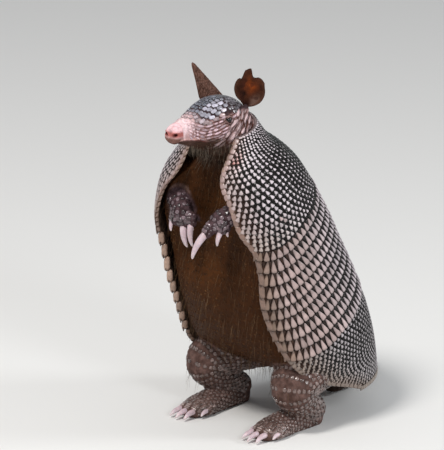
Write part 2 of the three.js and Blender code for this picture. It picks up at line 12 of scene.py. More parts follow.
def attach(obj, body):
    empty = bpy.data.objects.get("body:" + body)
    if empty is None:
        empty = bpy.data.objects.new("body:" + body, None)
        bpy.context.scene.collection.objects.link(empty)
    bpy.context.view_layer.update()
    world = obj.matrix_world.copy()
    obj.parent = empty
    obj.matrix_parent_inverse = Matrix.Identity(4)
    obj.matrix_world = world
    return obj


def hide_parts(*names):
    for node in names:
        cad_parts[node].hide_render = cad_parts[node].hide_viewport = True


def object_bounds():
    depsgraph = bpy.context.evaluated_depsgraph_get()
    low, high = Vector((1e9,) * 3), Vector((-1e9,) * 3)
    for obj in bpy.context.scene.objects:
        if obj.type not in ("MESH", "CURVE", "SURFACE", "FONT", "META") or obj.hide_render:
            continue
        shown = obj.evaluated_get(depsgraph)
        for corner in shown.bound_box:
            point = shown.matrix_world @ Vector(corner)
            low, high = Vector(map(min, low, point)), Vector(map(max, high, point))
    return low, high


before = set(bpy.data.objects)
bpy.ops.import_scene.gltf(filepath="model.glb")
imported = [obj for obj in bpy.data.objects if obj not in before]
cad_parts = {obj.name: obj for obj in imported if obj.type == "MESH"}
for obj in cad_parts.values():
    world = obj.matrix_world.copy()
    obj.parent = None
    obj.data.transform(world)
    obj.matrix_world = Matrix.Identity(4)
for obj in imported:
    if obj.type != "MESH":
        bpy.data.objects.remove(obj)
CAD_BOX = [list(map(float, c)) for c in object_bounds()]
rng = np.random.default_rng(20240)

# ------------------------------------------------------------------ the dimensions of the solids (mm, degrees)
ORIGIN = np.array([-75.6, 8.8, 0.0])
PLATE = 3.2
BANDS = 9
SHIELD_END = 0.328
PELVIC_START = 0.745
NOTCH_DEPTH, NOTCH_HALF = 0.075, 20.0
YAW = math.radians(-4)
NOSE = np.array([6.3, -165.7, 311.4])
EYE = dict(u=63.8, w=8.2, r=3.8, sink=2.4)
TAIL_POINTS = [[0, 66, 27], [-12, 112, 19], [-46, 151, 14.8], [-102, 172, 11.4], [-160, 168, 8.4], [-208, 146, 6], [-240, 110, 3.7]]
TAIL_RADII = [25, 19.6, 15.4, 12, 9, 6.5, 4.2]
STATION = [0, 0.07, 0.13, 0.20, 0.28, 0.37, 0.46, 0.56, 0.66, 0.76, 0.88, 1.0]
CENTRE_Y = [-83, -88, -86.5, -81, -72.5, -61, -51, -40, -28.5, -16, 2, 21]
CENTRE_Z = [309, 284, 266, 245, 222, 198, 175, 151, 125, 97, 62, 30.5]
TILT = [26, 28, 29, 30, 30, 30, 30, 30, 29, 25, 16, 6]
HALF_WIDTH = [36, 55, 70, 79, 83.5, 85.5, 86.5, 87, 88.5, 90, 86, 80]
RADIUS = [24, 42, 57, 70, 77.5, 82, 86, 88, 91, 93, 90, 76]
WRAP = [133, 149, 141, 135.5, 128, 128.5, 132, 132.5, 130, 125.5, 114, 84]
SWELL = [-4, -12, -18, -16, -8, 2, 10, 15, 16, 12, 4, -6]
BOW_AT = [0, 0.5, 0.62, 0.7, 0.76, 0.83, 0.88, 0.94, 1.0]   # the margins of the plates bow along the back
BOW = [0, 0, 0.002, 0.005, 0.01, 0.012, 0.009, -0.002, -0.024]
HEAD_U = [0, 6, 15, 24, 34, 44, 54, 66, 79, 90, 99]
HEAD_A = [8.8, 9.8, 10.2, 11.4, 14, 16.9, 19.2, 20.8, 21.2, 19.6, 15]
HEAD_T = [9.4, 11.8, 14.4, 17.4, 21.7, 25.5, 27.7, 28.4, 26.5, 21.7, 16]
HEAD_B = [-6.4, -8.0, -10.4, -13.4, -17.2, -20.8, -23.6, -25.5, -26, -24.5, -20]
EAR_T = [0, 0.1, 0.2, 0.32, 0.47, 0.64, 0.82, 0.93, 1.0]
EAR_H = [4.6, 6.2, 9.6, 12.8, 14.6, 14.4, 11.4, 7.2, 3.0]
EAR_WRAP = [150, 138, 122, 106, 86, 68, 52, 44, 36]
TORN = [[-1, 0.735], [-0.8, 0.75], [-0.64, 0.75], [-0.6, 0.8], [-0.55, 0.9], [-0.4, 0.96], [-0.2, 1.0], [-0.06, 0.985], [0.0, 0.93], [0.1, 0.82], [0.2, 0.795], [0.3, 0.8], [0.45, 0.825], [0.65, 0.825], [0.85, 0.8], [1, 0.765]]
LEAF_T = [0, 0.02, 0.045, 0.09, 0.16, 0.24, 0.33, 0.41, 0.49, 0.58, 0.66, 0.75, 0.85, 1.0]   # the left ear, torn: how far it reaches to each side
LEAF_FRONT = [1.2, 1.6, 2.2, 3.6, 5.8, 9.0, 11.5, 12.9, 13.8, 14.0, 13.5, 12.0, 12.0, 12.0]
LEAF_BACK = [1.2, 2.0, 3.6, 6.4, 9.6, 12.4, 14.4, 15.5, 16.0, 15.8, 14.9, 14.0, 13.2, 12.5]
LEAF_WRAP = [80, 78, 75, 72, 70, 68, 66, 64, 62, 60, 58, 54, 50, 44]
PAW = {
    "left": dict(sg=1, elbow=[54, -84, 214], wrist=[40, -110, 236], palm=[31.6, -122.5, 226], pw=[9, 10.5, 9.5],
                 toes=[([20.5, -131, 215], [18.6, -139.5, 200.5], 2.5), ([27, -136, 216], [18.9, -155.5, 189], 4.5),
                       ([37.2, -126, 218.5], [35.2, -134.5, 201], 3.4), ([39.2, -120.8, 219.6], [41.2, -123.6, 209.5], 2.5)]),
    "right": dict(sg=-1, elbow=[-55, -84, 214], wrist=[-39, -108, 234], palm=[-29.5, -115.5, 221], pw=[10, 12, 11.5],
                  toes=[([-21, -108, 212], [-19, -110.5, 201], 2.3), ([-15.2, -115.4, 213.4], [-9.6, -123, 187.4], 4.0),
                        ([-23.6, -117.4, 211.4], [-16.4, -123, 185.2], 4.4), ([-36.5, -119, 215], [-36.4, -125.6, 200], 3.1)]),
}

# ------------------------------------------------------------------ camera (from the same station as the view it follows)
RIGHT = np.array([math.cos(math.radians(45)), math.sin(math.radians(45)), 0.0])
BACK = np.array([math.sin(math.radians(45)) * math.cos(math.radians(16)), -math.cos(math.radians(45)) * math.cos(math.radians(16)), math.sin(math.radians(16))])
UP = np.cross(BACK, RIGHT)
target = -63.0 * RIGHT + 183.0 * UP
cam_at = (target + 4000.0 * BACK - ORIGIN) / 1000
cam_data = bpy.data.cameras.new("camera")
cam_data.lens = 320.0
cam_data.sensor_width = 36.0
cam_data.sensor_fit = "AUTO"
cam_data.clip_start, cam_data.clip_end = 0.05, 50
camera = bpy.data.objects.new("camera", cam_data)
camera.matrix_world = Matrix(((RIGHT[0], UP[0], BACK[0], cam_at[0]), (RIGHT[1], UP[1], BACK[1], cam_at[1]), (RIGHT[2], UP[2], BACK[2], cam_at[2]), (0, 0, 0, 1)))
bpy.context.scene.collection.objects.link(camera)
bpy.context.scene.camera = camera


# ------------------------------------------------------------------ small maths
def clamp(v, a, b):
    return np.minimum(b, np.maximum(a, v))


def mix(a, b, t):
    return a + (b - a) * t


def smooth(a, b, x):
    t = clamp((np.asarray(x, float) - a) / (b - a), 0.0, 1.0)
    return t * t * (3 - 2 * t)


def herm(xs, ys, x):
    xs, ys, x = np.asarray(xs, float), np.asarray(ys, float), np.asarray(x, float)
    n, d, h = len(xs), np.diff(ys) / np.diff(xs), np.diff(xs)
    s = np.zeros(n)
    s[0], s[-1] = d[0], d[-1]
    s[1:-1] = (d[:-1] * h[1:] + d[1:] * h[:-1]) / (h[:-1] + h[1:])
    i = np.clip(np.searchsorted(xs, x, side="right") - 1, 0, n - 2)
    t = np.clip((x - xs[i]) / h[i], 0, 1)
    t2 = t * t
    t3 = t2 * t
    return (2 * t3 - 3 * t2 + 1) * ys[i] + (t3 - 2 * t2 + t) * h[i] * s[i] + (-2 * t3 + 3 * t2) * ys[i + 1] + (t3 - t2) * h[i] * s[i + 1]


def unit(v):
    return v / np.maximum(np.linalg.norm(v, axis=-1, keepdims=True), 1e-12)


def rgb(r, g, b):   # display values to linear
    c = np.array([r, g, b], float) / 255
    return np.where(c <= 0.04045, c / 12.92, ((c + 0.055) / 1.055) ** 2.4)


def hash3(ix, iy, iz, seed=0):   # repeatable random numbers on whole-number cells
    h = (ix.astype(np.int64) * 73856093) ^ (iy.astype(np.int64) * 19349663) ^ (iz.astype(np.int64) * 83492791) ^ (seed * 2654435761)
    h = (h ^ (h >> 13)) * 1274126177
    h = h & 0x7FFFFFFF
    h = (h ^ (h >> 15)) * 2246822519 & 0x7FFFFFFF
    return (h & 0xFFFF) / 65535.0


def noise(P, scale, seed=0):   # smooth value noise, 0..1, at points (mm)
    q = np.asarray(P, float) * scale
    i = np.floor(q).astype(np.int64)
    f = q - i
    f = f * f * (3 - 2 * f)
    out = 0.0
    for dx in (0, 1):
        for dy in (0, 1):
            for dz in (0, 1):
                w = (f[..., 0] if dx else 1 - f[..., 0]) * (f[..., 1] if dy else 1 - f[..., 1]) * (f[..., 2] if dz else 1 - f[..., 2])
                out = out + w * hash3(i[..., 0] + dx, i[..., 1] + dy, i[..., 2] + dz, seed)
    return out


def cells(P, scale, seed=0, jitter=0.8):   # distance to the nearest and second-nearest cell point, and the cell's own number
    q = np.asarray(P, float) * scale
    i = np.floor(q).astype(np.int64)
    best = np.full(q.shape[:-1], 9.0)
    second = np.full(q.shape[:-1], 9.0)
    who = np.zeros(q.shape[:-1])
    for dx in (-1, 0, 1):
        for dy in (-1, 0, 1):
            for dz in (-1, 0, 1):
                c = np.stack([i[..., 0] + dx, i[..., 1] + dy, i[..., 2] + dz], -1)
                r = [hash3(c[..., 0], c[..., 1], c[..., 2], seed + k) for k in (1, 2, 3, 4)]
                p = c + 0.5 + jitter * (np.stack(r[:3], -1) - 0.5)
                d = np.linalg.norm(p - q, axis=-1)
                near = d < best
                second = np.where(near, best, np.minimum(second, d))
                who = np.where(near, r[3], who)
                best = np.where(near, d, best)
    return best, second, who


# ------------------------------------------------------------------ the back
def at(table, s):
    return herm(STATION, table, s)


def ring(s, x, n):
    f = np.radians(at(TILT, s))
    return np.stack([x + 0 * n, at(CENTRE_Y, s) + np.cos(f) * n, at(CENTRE_Z, s) + np.sin(f) * n], -1)


def shell(s, ang, d):
    return ring(s, (at(HALF_WIDTH, s) + d) * np.sin(ang), (at(RADIUS, s) + d) * np.cos(ang))


def wrap(s):
    return np.radians(at(WRAP, s))


def back_surface(s, f, d):   # f runs -1..1 from rim to rim
    s = s + herm(BOW_AT, BOW, np.minimum(np.abs(f), 1.0)) * smooth(0, 0.2, s) * smooth(1, 0.86, s)
    return shell(s, f * wrap(s), d)


# ------------------------------------------------------------------ meshes
class Coat:
    """A mesh in the making: vertices (mm, in the lofts' coordinates), faces, a colour and a bake place each."""

    def __init__(self):
        self.v, self.f, self.c, self.uv, self.x, self.n = [], [], [], [], [], 0

    def add(self, v, faces, c, uv=None, x=None):
        v = np.asarray(v, float).reshape(-1, 3)
        c = np.broadcast_to(np.asarray(c, float), (len(v), 3))
        uv = np.zeros((len(v), 2)) if uv is None else np.asarray(uv, float).reshape(-1, 2)
        x = np.zeros(len(v)) if x is None else np.broadcast_to(np.asarray(x, float), (len(v),))
        self.v.append(v)
        self.c.append(c)
        self.uv.append(uv)
        self.x.append(x)
        for a in faces:
            a = np.asarray(a, np.int64)
            if len(a):
                self.f.append(a + self.n)
        self.n += len(v)

    def arrays(self):
        return np.concatenate(self.v), self.f, np.concatenate(self.c), np.concatenate(self.uv), np.concatenate(self.x)

    def make(self, name, material, uv_name="OFBake", smooth_faces=True):
        v, fs, c, uv, x = self.arrays()
        return make_mesh(name, v, fs, material, c, uv, x, uv_name, smooth_faces)


def make_mesh(name, v, faces, material, c=None, uv=None, x=None, uv_name="OFBake", smooth_faces=True):
    me = bpy.data.meshes.new(name)
    v = (np.asarray(v) - ORIGIN) / 1000
    me.vertices.add(len(v))
    me.vertices.foreach_set("co", v.astype(np.float32).ravel())
    loops = np.concatenate([a.ravel() for a in faces]).astype(np.int32)
    counts = np.concatenate([np.full(len(a), a.shape[1]) for a in faces]).astype(np.int32)
    starts = np.concatenate([[0], np.cumsum(counts)[:-1]]).astype(np.int32)
    me.loops.add(len(loops))
    me.loops.foreach_set("vertex_index", loops)
    me.polygons.add(len(counts))
    me.polygons.foreach_set("loop_start", starts)
    me.polygons.foreach_set("loop_total", counts)
    me.polygons.foreach_set("use_smooth", np.full(len(counts), smooth_faces, bool))
    if c is not None:
        a = me.color_attributes.new("Tint", "FLOAT_COLOR", "POINT")
        a.data.foreach_set("color", np.concatenate([np.clip(c, 0, 1), np.ones((len(c), 1))], 1).astype(np.float32).ravel())
    if x is not None:
        a = me.attributes.new("Gloss", "FLOAT", "POINT")
        a.data.foreach_set("value", np.asarray(x, np.float32))
    if uv is not None and uv_name:
        layer = me.uv_layers.new(name=uv_name)
        layer.data.foreach_set("uv", uv[loops].astype(np.float32).ravel())
    me.update(calc_edges=True)
    me.validate()
    o = bpy.data.objects.new(name, me)
    bpy.context.scene.collection.objects.link(o)
    if material is not None:
        me.materials.append(material)
    return o


def grid_faces(nu, nv, close_u=False, offset=0, flip=False):   # vertices laid out [v][u]
    u = np.arange(nu if close_u else nu - 1)
    w = np.arange(nv - 1)
    U, W = np.meshgrid(u, w)
    a = W * nu + U
    b = W * nu + (U + 1) % nu
    c = (W + 1) * nu + (U + 1) % nu
    d = (W + 1) * nu + U
    q = np.stack([a, b, c, d], -1).reshape(-1, 4) + offset
    return q[:, ::-1] if flip else q


def normals_out(v, faces):
    """True when the closed mesh has its faces pointing out."""
    vol = 0.0
    for a in faces:
        for k in range(1, a.shape[1] - 1):
            p, q, r = v[a[:, 0]], v[a[:, k]], v[a[:, k + 1]]
            vol += np.einsum("ij,ij->i", p, np.cross(q, r)).sum()
    return vol > 0


# ------------------------------------------------------------------ scutes: pads on a surface
def template(outline, rings):
    """outline: (n,2) points (across, along); rings: (scale, height, edge) from the buried rim to the top."""
    o = np.asarray(outline, float)
    n = len(o)
    pts, h, e, faces = [], [], [], []
    cen = o.mean(0)
    for k, (sc, hh, ee) in enumerate(rings):
        pts.append(cen + (o - cen) * sc)
        h += [hh] * n
        e += [ee] * n
    pts = np.concatenate(pts)
    top = len(pts)
    pts = np.concatenate([pts, [cen], [cen]])
    h += [rings[-1][1] * 1.04 + 0.02, rings[0][1]]
    e += [rings[-1][2], rings[0][2]]
    quads, tris = [], []
    for k in range(len(rings) - 1):
        for i in range(n):
            j = (i + 1) % n
            quads.append([k * n + i, k * n + j, (k + 1) * n + j, (k + 1) * n + i])
    last = (len(rings) - 1) * n
    for i in range(n):
        j = (i + 1) % n
        tris.append([last + i, last + j, top])
        tris.append([j, i, top + 1])
    return dict(p=pts, h=np.array(h), e=np.array(e), quads=np.array(quads), tris=np.array(tris))


def mirror_outline(half):   # points with a >= 0 from front to back
    h = np.array(half, float)
    left = h[::-1].copy()
    left[:, 0] *= -1
    pts = [tuple(p) for p in h] + [tuple(p) for p in left if abs(p[0]) > 1e-9]
    out = []
    for p in pts:
        if p not in out:
            out.append(p)
    return np.array(out)


RISE = [(1.0, -0.55, 1.0), (1.0, 0.45, 0.75), (0.8, 0.95, 0.2), (0.45, 1.12, 0.0)]
RISE_LOW = [(1.0, -0.5, 1.0), (1.0, 0.45, 0.6), (0.66, 1.0, 0.0)]
TEAR = template(mirror_outline([(0, -1.0), (0.42, -0.7), (0.72, -0.15), (0.97, 0.42), (0.78, 0.84), (0.0, 0.96)]), RISE)
ROUND = template([(math.sin(a) * (1 - 0.06 * math.cos(4 * a)), -math.cos(a) * (1 - 0.06 * math.cos(4 * a))) for a in np.linspace(0, 2 * math.pi, 8, endpoint=False)], RISE)
KITE = template(mirror_outline([(0, -1.0), (0.28, -0.84), (0.56, -0.40), (0.82, 0.12), (1.0, 0.58), (0.97, 0.84), (0.74, 0.99), (0.0, 1.03)]), RISE)
DARK_KITE = template(mirror_outline([(0.0, 0.95), (0.26, 0.5), (0.5, 0.05), (0.76, -0.45), (0.9, -0.85), (0.4, -1.0), (0.0, -1.0)][::-1]), RISE_LOW)
RECT = template(mirror_outline([(0, -1.0), (0.62, -0.98), (0.93, -0.72), (1.0, 0.0), (0.93, 0.72), (0.62, 0.98), (0, 1.0)]), RISE)
GRAIN = template([(math.sin(a), -math.cos(a)) for a in np.linspace(0, 2 * math.pi, 6, endpoint=False)], [(1.0, -0.5, 1.0), (0.94, 0.5, 0.5), (0.5, 1.0, 0.0)])


def pads(coat, surf, p, q, a, b, h, col, edge, tmpl, rot=0.0, lift=0.0, bake=(0, 1, -1, 1), eps=(1e-3, 1e-3), gloss=0.0, tilt=0.0, wob=0.0):
    """Set pads on surf(p, q, d): p runs along the body, q across. a, b are half-sizes (mm) across and along."""
    p, q = np.atleast_1d(np.asarray(p, float)), np.atleast_1d(np.asarray(q, float))
    m = len(p)
    if m == 0:
        return
    full = lambda x: np.broadcast_to(np.asarray(x, float), (m,))
    a, b, h, rot, lift, gloss, tilt = map(full, (a, b, h, rot, lift, gloss, tilt))
    col, edge = np.broadcast_to(col, (m, 3)), np.broadcast_to(edge, (m, 3))
    P0 = surf(p, q, 0 * p)
    Pp = (surf(p + eps[0], q, 0 * p) - P0) / eps[0]
    Pq = (surf(p, q + eps[1], 0 * p) - P0) / eps[1]
    Lq = np.linalg.norm(Pq, axis=1)
    e1 = Pq / Lq[:, None]
    al = np.einsum("ij,ij->i", Pp, e1)
    be = np.linalg.norm(Pp - al[:, None] * e1, axis=1)
    ta, tb = tmpl["p"][:, 0], tmpl["p"][:, 1]
    k = len(ta)
    if wob:   # each pad's outline a little its own
        n0 = k
        ph = rng.random((m, 3)) * 6.28
        th = np.arctan2(ta, -tb)
        wv = 1 + wob * (np.sin(th[None] * 2 + ph[:, :1]) * 0.6 + np.sin(th[None] * 3 + ph[:, 1:2]) * 0.5 + np.sin(th[None] * 5 + ph[:, 2:3]) * 0.3)
    else:
        wv = 1.0
    A = ta[None] * a[:, None] * wv
    B = tb[None] * b[:, None] * wv
    cr, sr = np.cos(rot)[:, None], np.sin(rot)[:, None]
    A, B = A * cr - B * sr, A * sr + B * cr
    ds = B / be[:, None]
    dq = (A - al[:, None] * ds) / Lq[:, None]
    W = lift[:, None] + tmpl["h"][None] * h[:, None] + tilt[:, None] * tb[None] * b[:, None]
    V = surf(p[:, None] + ds, q[:, None] + dq, W)
    C = col[:, None] * (1 - tmpl["e"][None, :, None]) + edge[:, None] * tmpl["e"][None, :, None]
    p0, p1, q0, q1 = bake
    u = 0.02 + 0.96 * clamp((q - q0) / (q1 - q0), 0, 1)
    w = 0.02 + 0.96 * clamp((p - p0) / (p1 - p0), 0, 1)
    UVs = np.stack([u[:, None] + 0.0014 * ta[None], w[:, None] + 0.0014 * tb[None]], -1)
    off = (np.arange(m) * k)[:, None, None]
    quads = (tmpl["quads"][None] + off).reshape(-1, 4)
    tris = (tmpl["tris"][None] + off).reshape(-1, 3)
    vv = V.reshape(-1, 3)
    one = vv[:k]
    if not normals_out(one - one.mean(0), [tmpl["quads"], tmpl["tris"]]):
        quads, tris = quads[:, ::-1], tris[:, ::-1]
    coat.add(vv, [quads, tris], C.reshape(-1, 3), UVs.reshape(-1, 2), np.repeat(gloss, k))


# ------------------------------------------------------------------ materials
def material(name, rough=(0.4, 0.6), fine=900.0, coarse=160.0, bump=0.25, bump_dist=0.0003, spec=0.5, coat=0.0, coat_rough=0.2,
             vary=0.22, streak=None, sheen=0.0, subsurface=0.0, radius=(0.6, 0.25, 0.15), cells_scale=0.0):
    """Colour from the mesh's own tint, broken by noise; roughness and bump from noise, in the object's own space."""
    m = bpy.data.materials.new(name)
    m.use_nodes = True
    nt = m.node_tree
    N, L = nt.nodes, nt.links
    N.clear()
    out = N.new("ShaderNodeOutputMaterial")
    bs = N.new("ShaderNodeBsdfPrincipled")
    L.new(bs.outputs[0], out.inputs["Surface"])
    bs.inputs["Specular IOR Level"].default_value = spec
    bs.inputs["Coat Weight"].default_value = coat
    bs.inputs["Coat Roughness"].default_value = coat_rough
    bs.inputs["Sheen Weight"].default_value = sheen
    if subsurface:
        bs.inputs["Subsurface Weight"].default_value = subsurface
        bs.inputs["Subsurface Radius"].default_value = radius
        bs.inputs["Subsurface Scale"].default_value = 0.002
    tc = N.new("ShaderNodeTexCoord")
    tint = N.new("ShaderNodeAttribute")
    tint.attribute_name = "Tint"
    coords = tc.outputs["Object"]
    if streak is not None:
        mp = N.new("ShaderNodeMapping")
        mp.inputs["Scale"].default_value = streak
        L.new(coords, mp.inputs["Vector"])
        coords = mp.outputs["Vector"]
    n1 = N.new("ShaderNodeTexNoise")
    n1.inputs["Scale"].default_value = coarse
    n1.inputs["Detail"].default_value = 4.0
    L.new(coords, n1.inputs["Vector"])
    n2 = N.new("ShaderNodeTexNoise")
    n2.inputs["Scale"].default_value = fine
    n2.inputs["Detail"].default_value = 5.0
    n2.inputs["Roughness"].default_value = 0.6
    L.new(coords, n2.inputs["Vector"])
    # colour
    r1 = N.new("ShaderNodeMapRange")
    r1.inputs["From Min"].default_value, r1.inputs["From Max"].default_value = 0.3, 0.7
    r1.inputs["To Min"].default_value, r1.inputs["To Max"].default_value = 1 - vary, 1 + vary
    L.new(n1.outputs["Fac"], r1.inputs["Value"])
    r2 = N.new("ShaderNodeMapRange")
    r2.inputs["From Min"].default_value, r2.inputs["From Max"].default_value = 0.3, 0.7
    r2.inputs["To Min"].default_value, r2.inputs["To Max"].default_value = 1 - vary * 0.8, 1 + vary * 0.8
    L.new(n2.outputs["Fac"], r2.inputs["Value"])
    mu = N.new("ShaderNodeMath")
    mu.operation = "MULTIPLY"
    L.new(r1.outputs[0], mu.inputs[0])
    L.new(r2.outputs[0], mu.inputs[1])
    vm = N.new("ShaderNodeVectorMath")
    vm.operation = "SCALE"
    L.new(tint.outputs["Color"], vm.inputs[0])
    L.new(mu.outputs[0], vm.inputs["Scale"])
    L.new(vm.outputs[0], bs.inputs["Base Color"])
    # roughness
    rr = N.new("ShaderNodeMapRange")
    rr.inputs["From Min"].default_value, rr.inputs["From Max"].default_value = 0.3, 0.7
    rr.inputs["To Min"].default_value, rr.inputs["To Max"].default_value = rough
    L.new(n1.outputs["Fac"], rr.inputs["Value"])
    L.new(rr.outputs[0], bs.inputs["Roughness"])
    # bump
    bp = N.new("ShaderNodeBump")
    bp.inputs["Strength"].default_value = bump
    bp.inputs["Distance"].default_value = bump_dist
    height = n2.outputs["Fac"]
    if cells_scale:
        vo = N.new("ShaderNodeTexVoronoi")
        vo.feature = "DISTANCE_TO_EDGE"
        vo.inputs["Scale"].default_value = cells_scale
        L.new(tc.outputs["Object"], vo.inputs["Vector"])
        vr = N.new("ShaderNodeMapRange")
        vr.inputs["From Min"].default_value, vr.inputs["From Max"].default_value = 0.0, 0.22
        L.new(vo.outputs["Distance"], vr.inputs["Value"])
        ad = N.new("ShaderNodeMath")
        ad.operation = "MULTIPLY_ADD"
        ad.inputs[1].default_value = 0.5
        L.new(n2.outputs["Fac"], ad.inputs[0])
        L.new(vr.outputs[0], ad.inputs[2])
        height = ad.outputs[0]
    L.new(height, bp.inputs["Height"])
    L.new(bp.outputs[0], bs.inputs["Normal"])
    return m


M_PALE = material("scute_pale", rough=(0.3, 0.5), fine=1500, coarse=330, bump=0.35, bump_dist=0.00018, spec=0.4, coat=0.3, coat_rough=0.2, vary=0.14)
M_DARK = material("scute_dark", rough=(0.28, 0.5), fine=1300, coarse=300, bump=0.4, bump_dist=0.0002, spec=0.25, coat=0.08, coat_rough=0.2, vary=0.3)
M_PLATE = material("shell_plate", rough=(0.4, 0.65), fine=1100, coarse=240, bump=0.6, bump_dist=0.00035, spec=0.12, vary=0.3, cells_scale=620.0)
M_CROWN = material("crown_scute", rough=(0.18, 0.4), fine=1600, coarse=300, bump=0.4, bump_dist=0.0002, spec=0.4, coat=0.8, coat_rough=0.12, vary=0.25)
M_SKIN = material("hide", rough=(0.42, 0.62), fine=1300, coarse=210, bump=0.5, bump_dist=0.0003, spec=0.05, vary=0.25, subsurface=0.05, cells_scale=820.0)
M_FACE = material("face_lump", rough=(0.26, 0.44), fine=1400, coarse=260, bump=0.4, bump_dist=0.0002, spec=0.35, coat=0.25, coat_rough=0.2, vary=0.2, subsurface=0.06)
M_PAW = material("paw_scale", rough=(0.18, 0.36), fine=1500, coarse=280, bump=0.45, bump_dist=0.0002, spec=0.35, coat=0.75, coat_rough=0.1, vary=0.28)
M_CLAW = material("claw_horn", rough=(0.3, 0.48), fine=900, coarse=200, bump=0.3, bump_dist=0.00015, coat=0.15, coat_rough=0.3, vary=0.12, subsurface=0.1)
M_HAIR = material("hair", rough=(0.35, 0.5), fine=500, coarse=120, bump=0.0, spec=0.2, vary=0.12)
M_EYE = material("eye_gloss", rough=(0.05, 0.09), fine=500, coarse=120, bump=0.0, spec=0.15, coat=0.6, coat_rough=0.04, vary=0.05)

PIECES = []


def piece(o, slot, *nodes):
    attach(o, "root")
    if nodes:
        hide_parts(*nodes)
    PIECES.append(o)
    return o


# ------------------------------------------------------------------ armour: base plates
def notch(f):
    return NOTCH_DEPTH * np.exp(-((f * wrap(1.0)) / math.radians(NOTCH_HALF)) ** 2)


def band_span(i):
    p = (PELVIC_START - SHIELD_END) / BANDS
    return SHIELD_END + i * p + 0.0016, SHIELD_END + (i + 1) * p - 0.0003


def scapular_d(s, f):
    return mix(0.0, 0.9, clamp(s / SHIELD_END, 0, 1)) - 0.45


def band_d(i):
    s0, s1 = band_span(i)
    return lambda s, f: mix(-2.0, 0.35, clamp((s - s0) / (s1 - s0), -0.2, 1.05))


def pelvic_d(s, f):
    return mix(-1.7, -0.45, smooth(PELVIC_START, PELVIC_START + 0.05, s))


def plate_mesh(coat, s0, s1, dfun, nu, nv, colour, has_notch=False, inner=-PLATE, round_front=0.8, round_back=0.5):
    u, v = np.meshgrid(np.linspace(-1, 1, nu), np.linspace(0, 1, nv))
    s = mix(s0, s1 - (notch(u) if has_notch else 0.0), v)
    edge = 0.9 * smooth(0.985, 1.0, np.abs(u)) + round_front * (1 - smooth(0.0, 0.05, v)) + round_back * smooth(0.965, 1.0, v)
    rough = 0.22 * (noise(back_surface(s, u, 0 * s), 0.55, 5) - 0.5)
    outer = back_surface(s, u, dfun(s, u) - edge + rough)
    inn = back_surface(s, u, 0 * s + inner)
    c_out = colour(s, u, outer)
    # the inner face is painted as a shaded copy of the outer colour, half as bright; towards the rims it turns a
    # lighter brown
    c_in = mix(c_out * 0.5, rgb(122, 99, 85), smooth(0.86, 0.96, np.abs(u))[..., None])
    # at the collar the inner face is painted lighter: painted light over the shade in the gap between neck and shield
    c_in = mix(c_in, rgb(104, 90, 88), smooth(0.012, 0.004, s)[..., None])
    g = grid_faces(nu, nv)
    n = nu * nv
    rim = np.concatenate([np.arange(nu), np.arange(1, nv) * nu + nu - 1, (nv - 1) * nu + np.arange(nu - 2, -1, -1), np.arange(nv - 2, 0, -1) * nu])
    nxt = np.roll(rim, -1)
    side = np.stack([rim, nxt, nxt + n, rim + n], -1)
    v_all = np.concatenate([outer.reshape(-1, 3), inn.reshape(-1, 3)])
    faces = [g, (g + n)[:, ::-1], side[:, ::-1]]
    if not normals_out(v_all - v_all.mean(0), faces):
        faces = [a[:, ::-1] for a in faces]
    uv = np.stack([0.02 + 0.46 * (u + 1) / 2, 0.02 + 0.96 * v], -1).reshape(-1, 2)
    coat.add(v_all, faces, np.concatenate([c_out.reshape(-1, 3), c_in.reshape(-1, 3)]), np.concatenate([uv, uv + [0.5, 0]]))


DARK = rgb(14, 11, 10)
# DARK_BACK: the dark ground along the back, partly its own darker tone, partly a painted sky reflection in its
# grey-green cast
DARK_BACK = rgb(34, 37, 33)
BROWN = rgb(50, 29, 18)


def plate_colour(s, f, P):
    k = noise(P, 0.25, 11)[..., None]
    back = (1 - smooth(0.12, 0.5, np.abs(f)))[..., None]
    rim = smooth(0.8, 1.0, np.abs(f))[..., None]
    # towards the back mid-line the ground takes the grey-green that holds the painted sky reflection
    c = mix(DARK, DARK_BACK, 0.55 * back)
    c = mix(c, BROWN, 0.75 * rim)
    c = mix(c, rgb(84, 62, 50), smooth(0.955, 0.99, np.abs(f))[..., None])
    # the front edge of the shield is painted lighter: painted light over the shade in the gap between neck and shield
    c = mix(c, rgb(112, 98, 98), smooth(0.004, 0.0, s)[..., None])
    return c * (0.75 + 0.5 * k)


# ------------------------------------------------------------------ armour: where the scutes sit
def arc_table(s, surf, lo=-1.0, hi=1.0, n=241):
    f = np.linspace(lo, hi, n)
    P = surf(np.full(n, s), f, np.zeros(n))
    t = np.concatenate([[0], np.cumsum(np.linalg.norm(np.diff(P, axis=0), axis=1))])
    return f, t


def lattice(s_from, s_to, pitch, surf, margin, f_at=0.55):
    """Hexagonal rows across the back, in step at both rims, so the flanks are regular and the mid-line takes the misfit."""
    out = []
    s, r = s_from, 0
    while s < s_to:
        p = pitch(s)
        f, t = arc_table(s, surf)
        half = t[-1] / 2
        first = margin + (0.5 * p if r % 2 else 0.0)
        d = np.arange(first, half - 0.22 * p, p)
        fr = np.interp(d, t, f)
        out += [(s, -x, r) for x in fr] + [(s, x, r) for x in fr[::-1] * 1.0 if False]
        out += [(s, x, r) for x in fr]
        step = np.linalg.norm(surf(np.array([s + 1e-3]), np.array([f_at]), np.zeros(1)) - surf(np.array([s]), np.array([f_at]), np.zeros(1))) / 1e-3
        s += 0.866 * p / step
        r += 1
    a = np.array(out)
    return a[:, 0], a[:, 1], a[:, 2], np.array([pitch(x) for x in a[:, 0]])


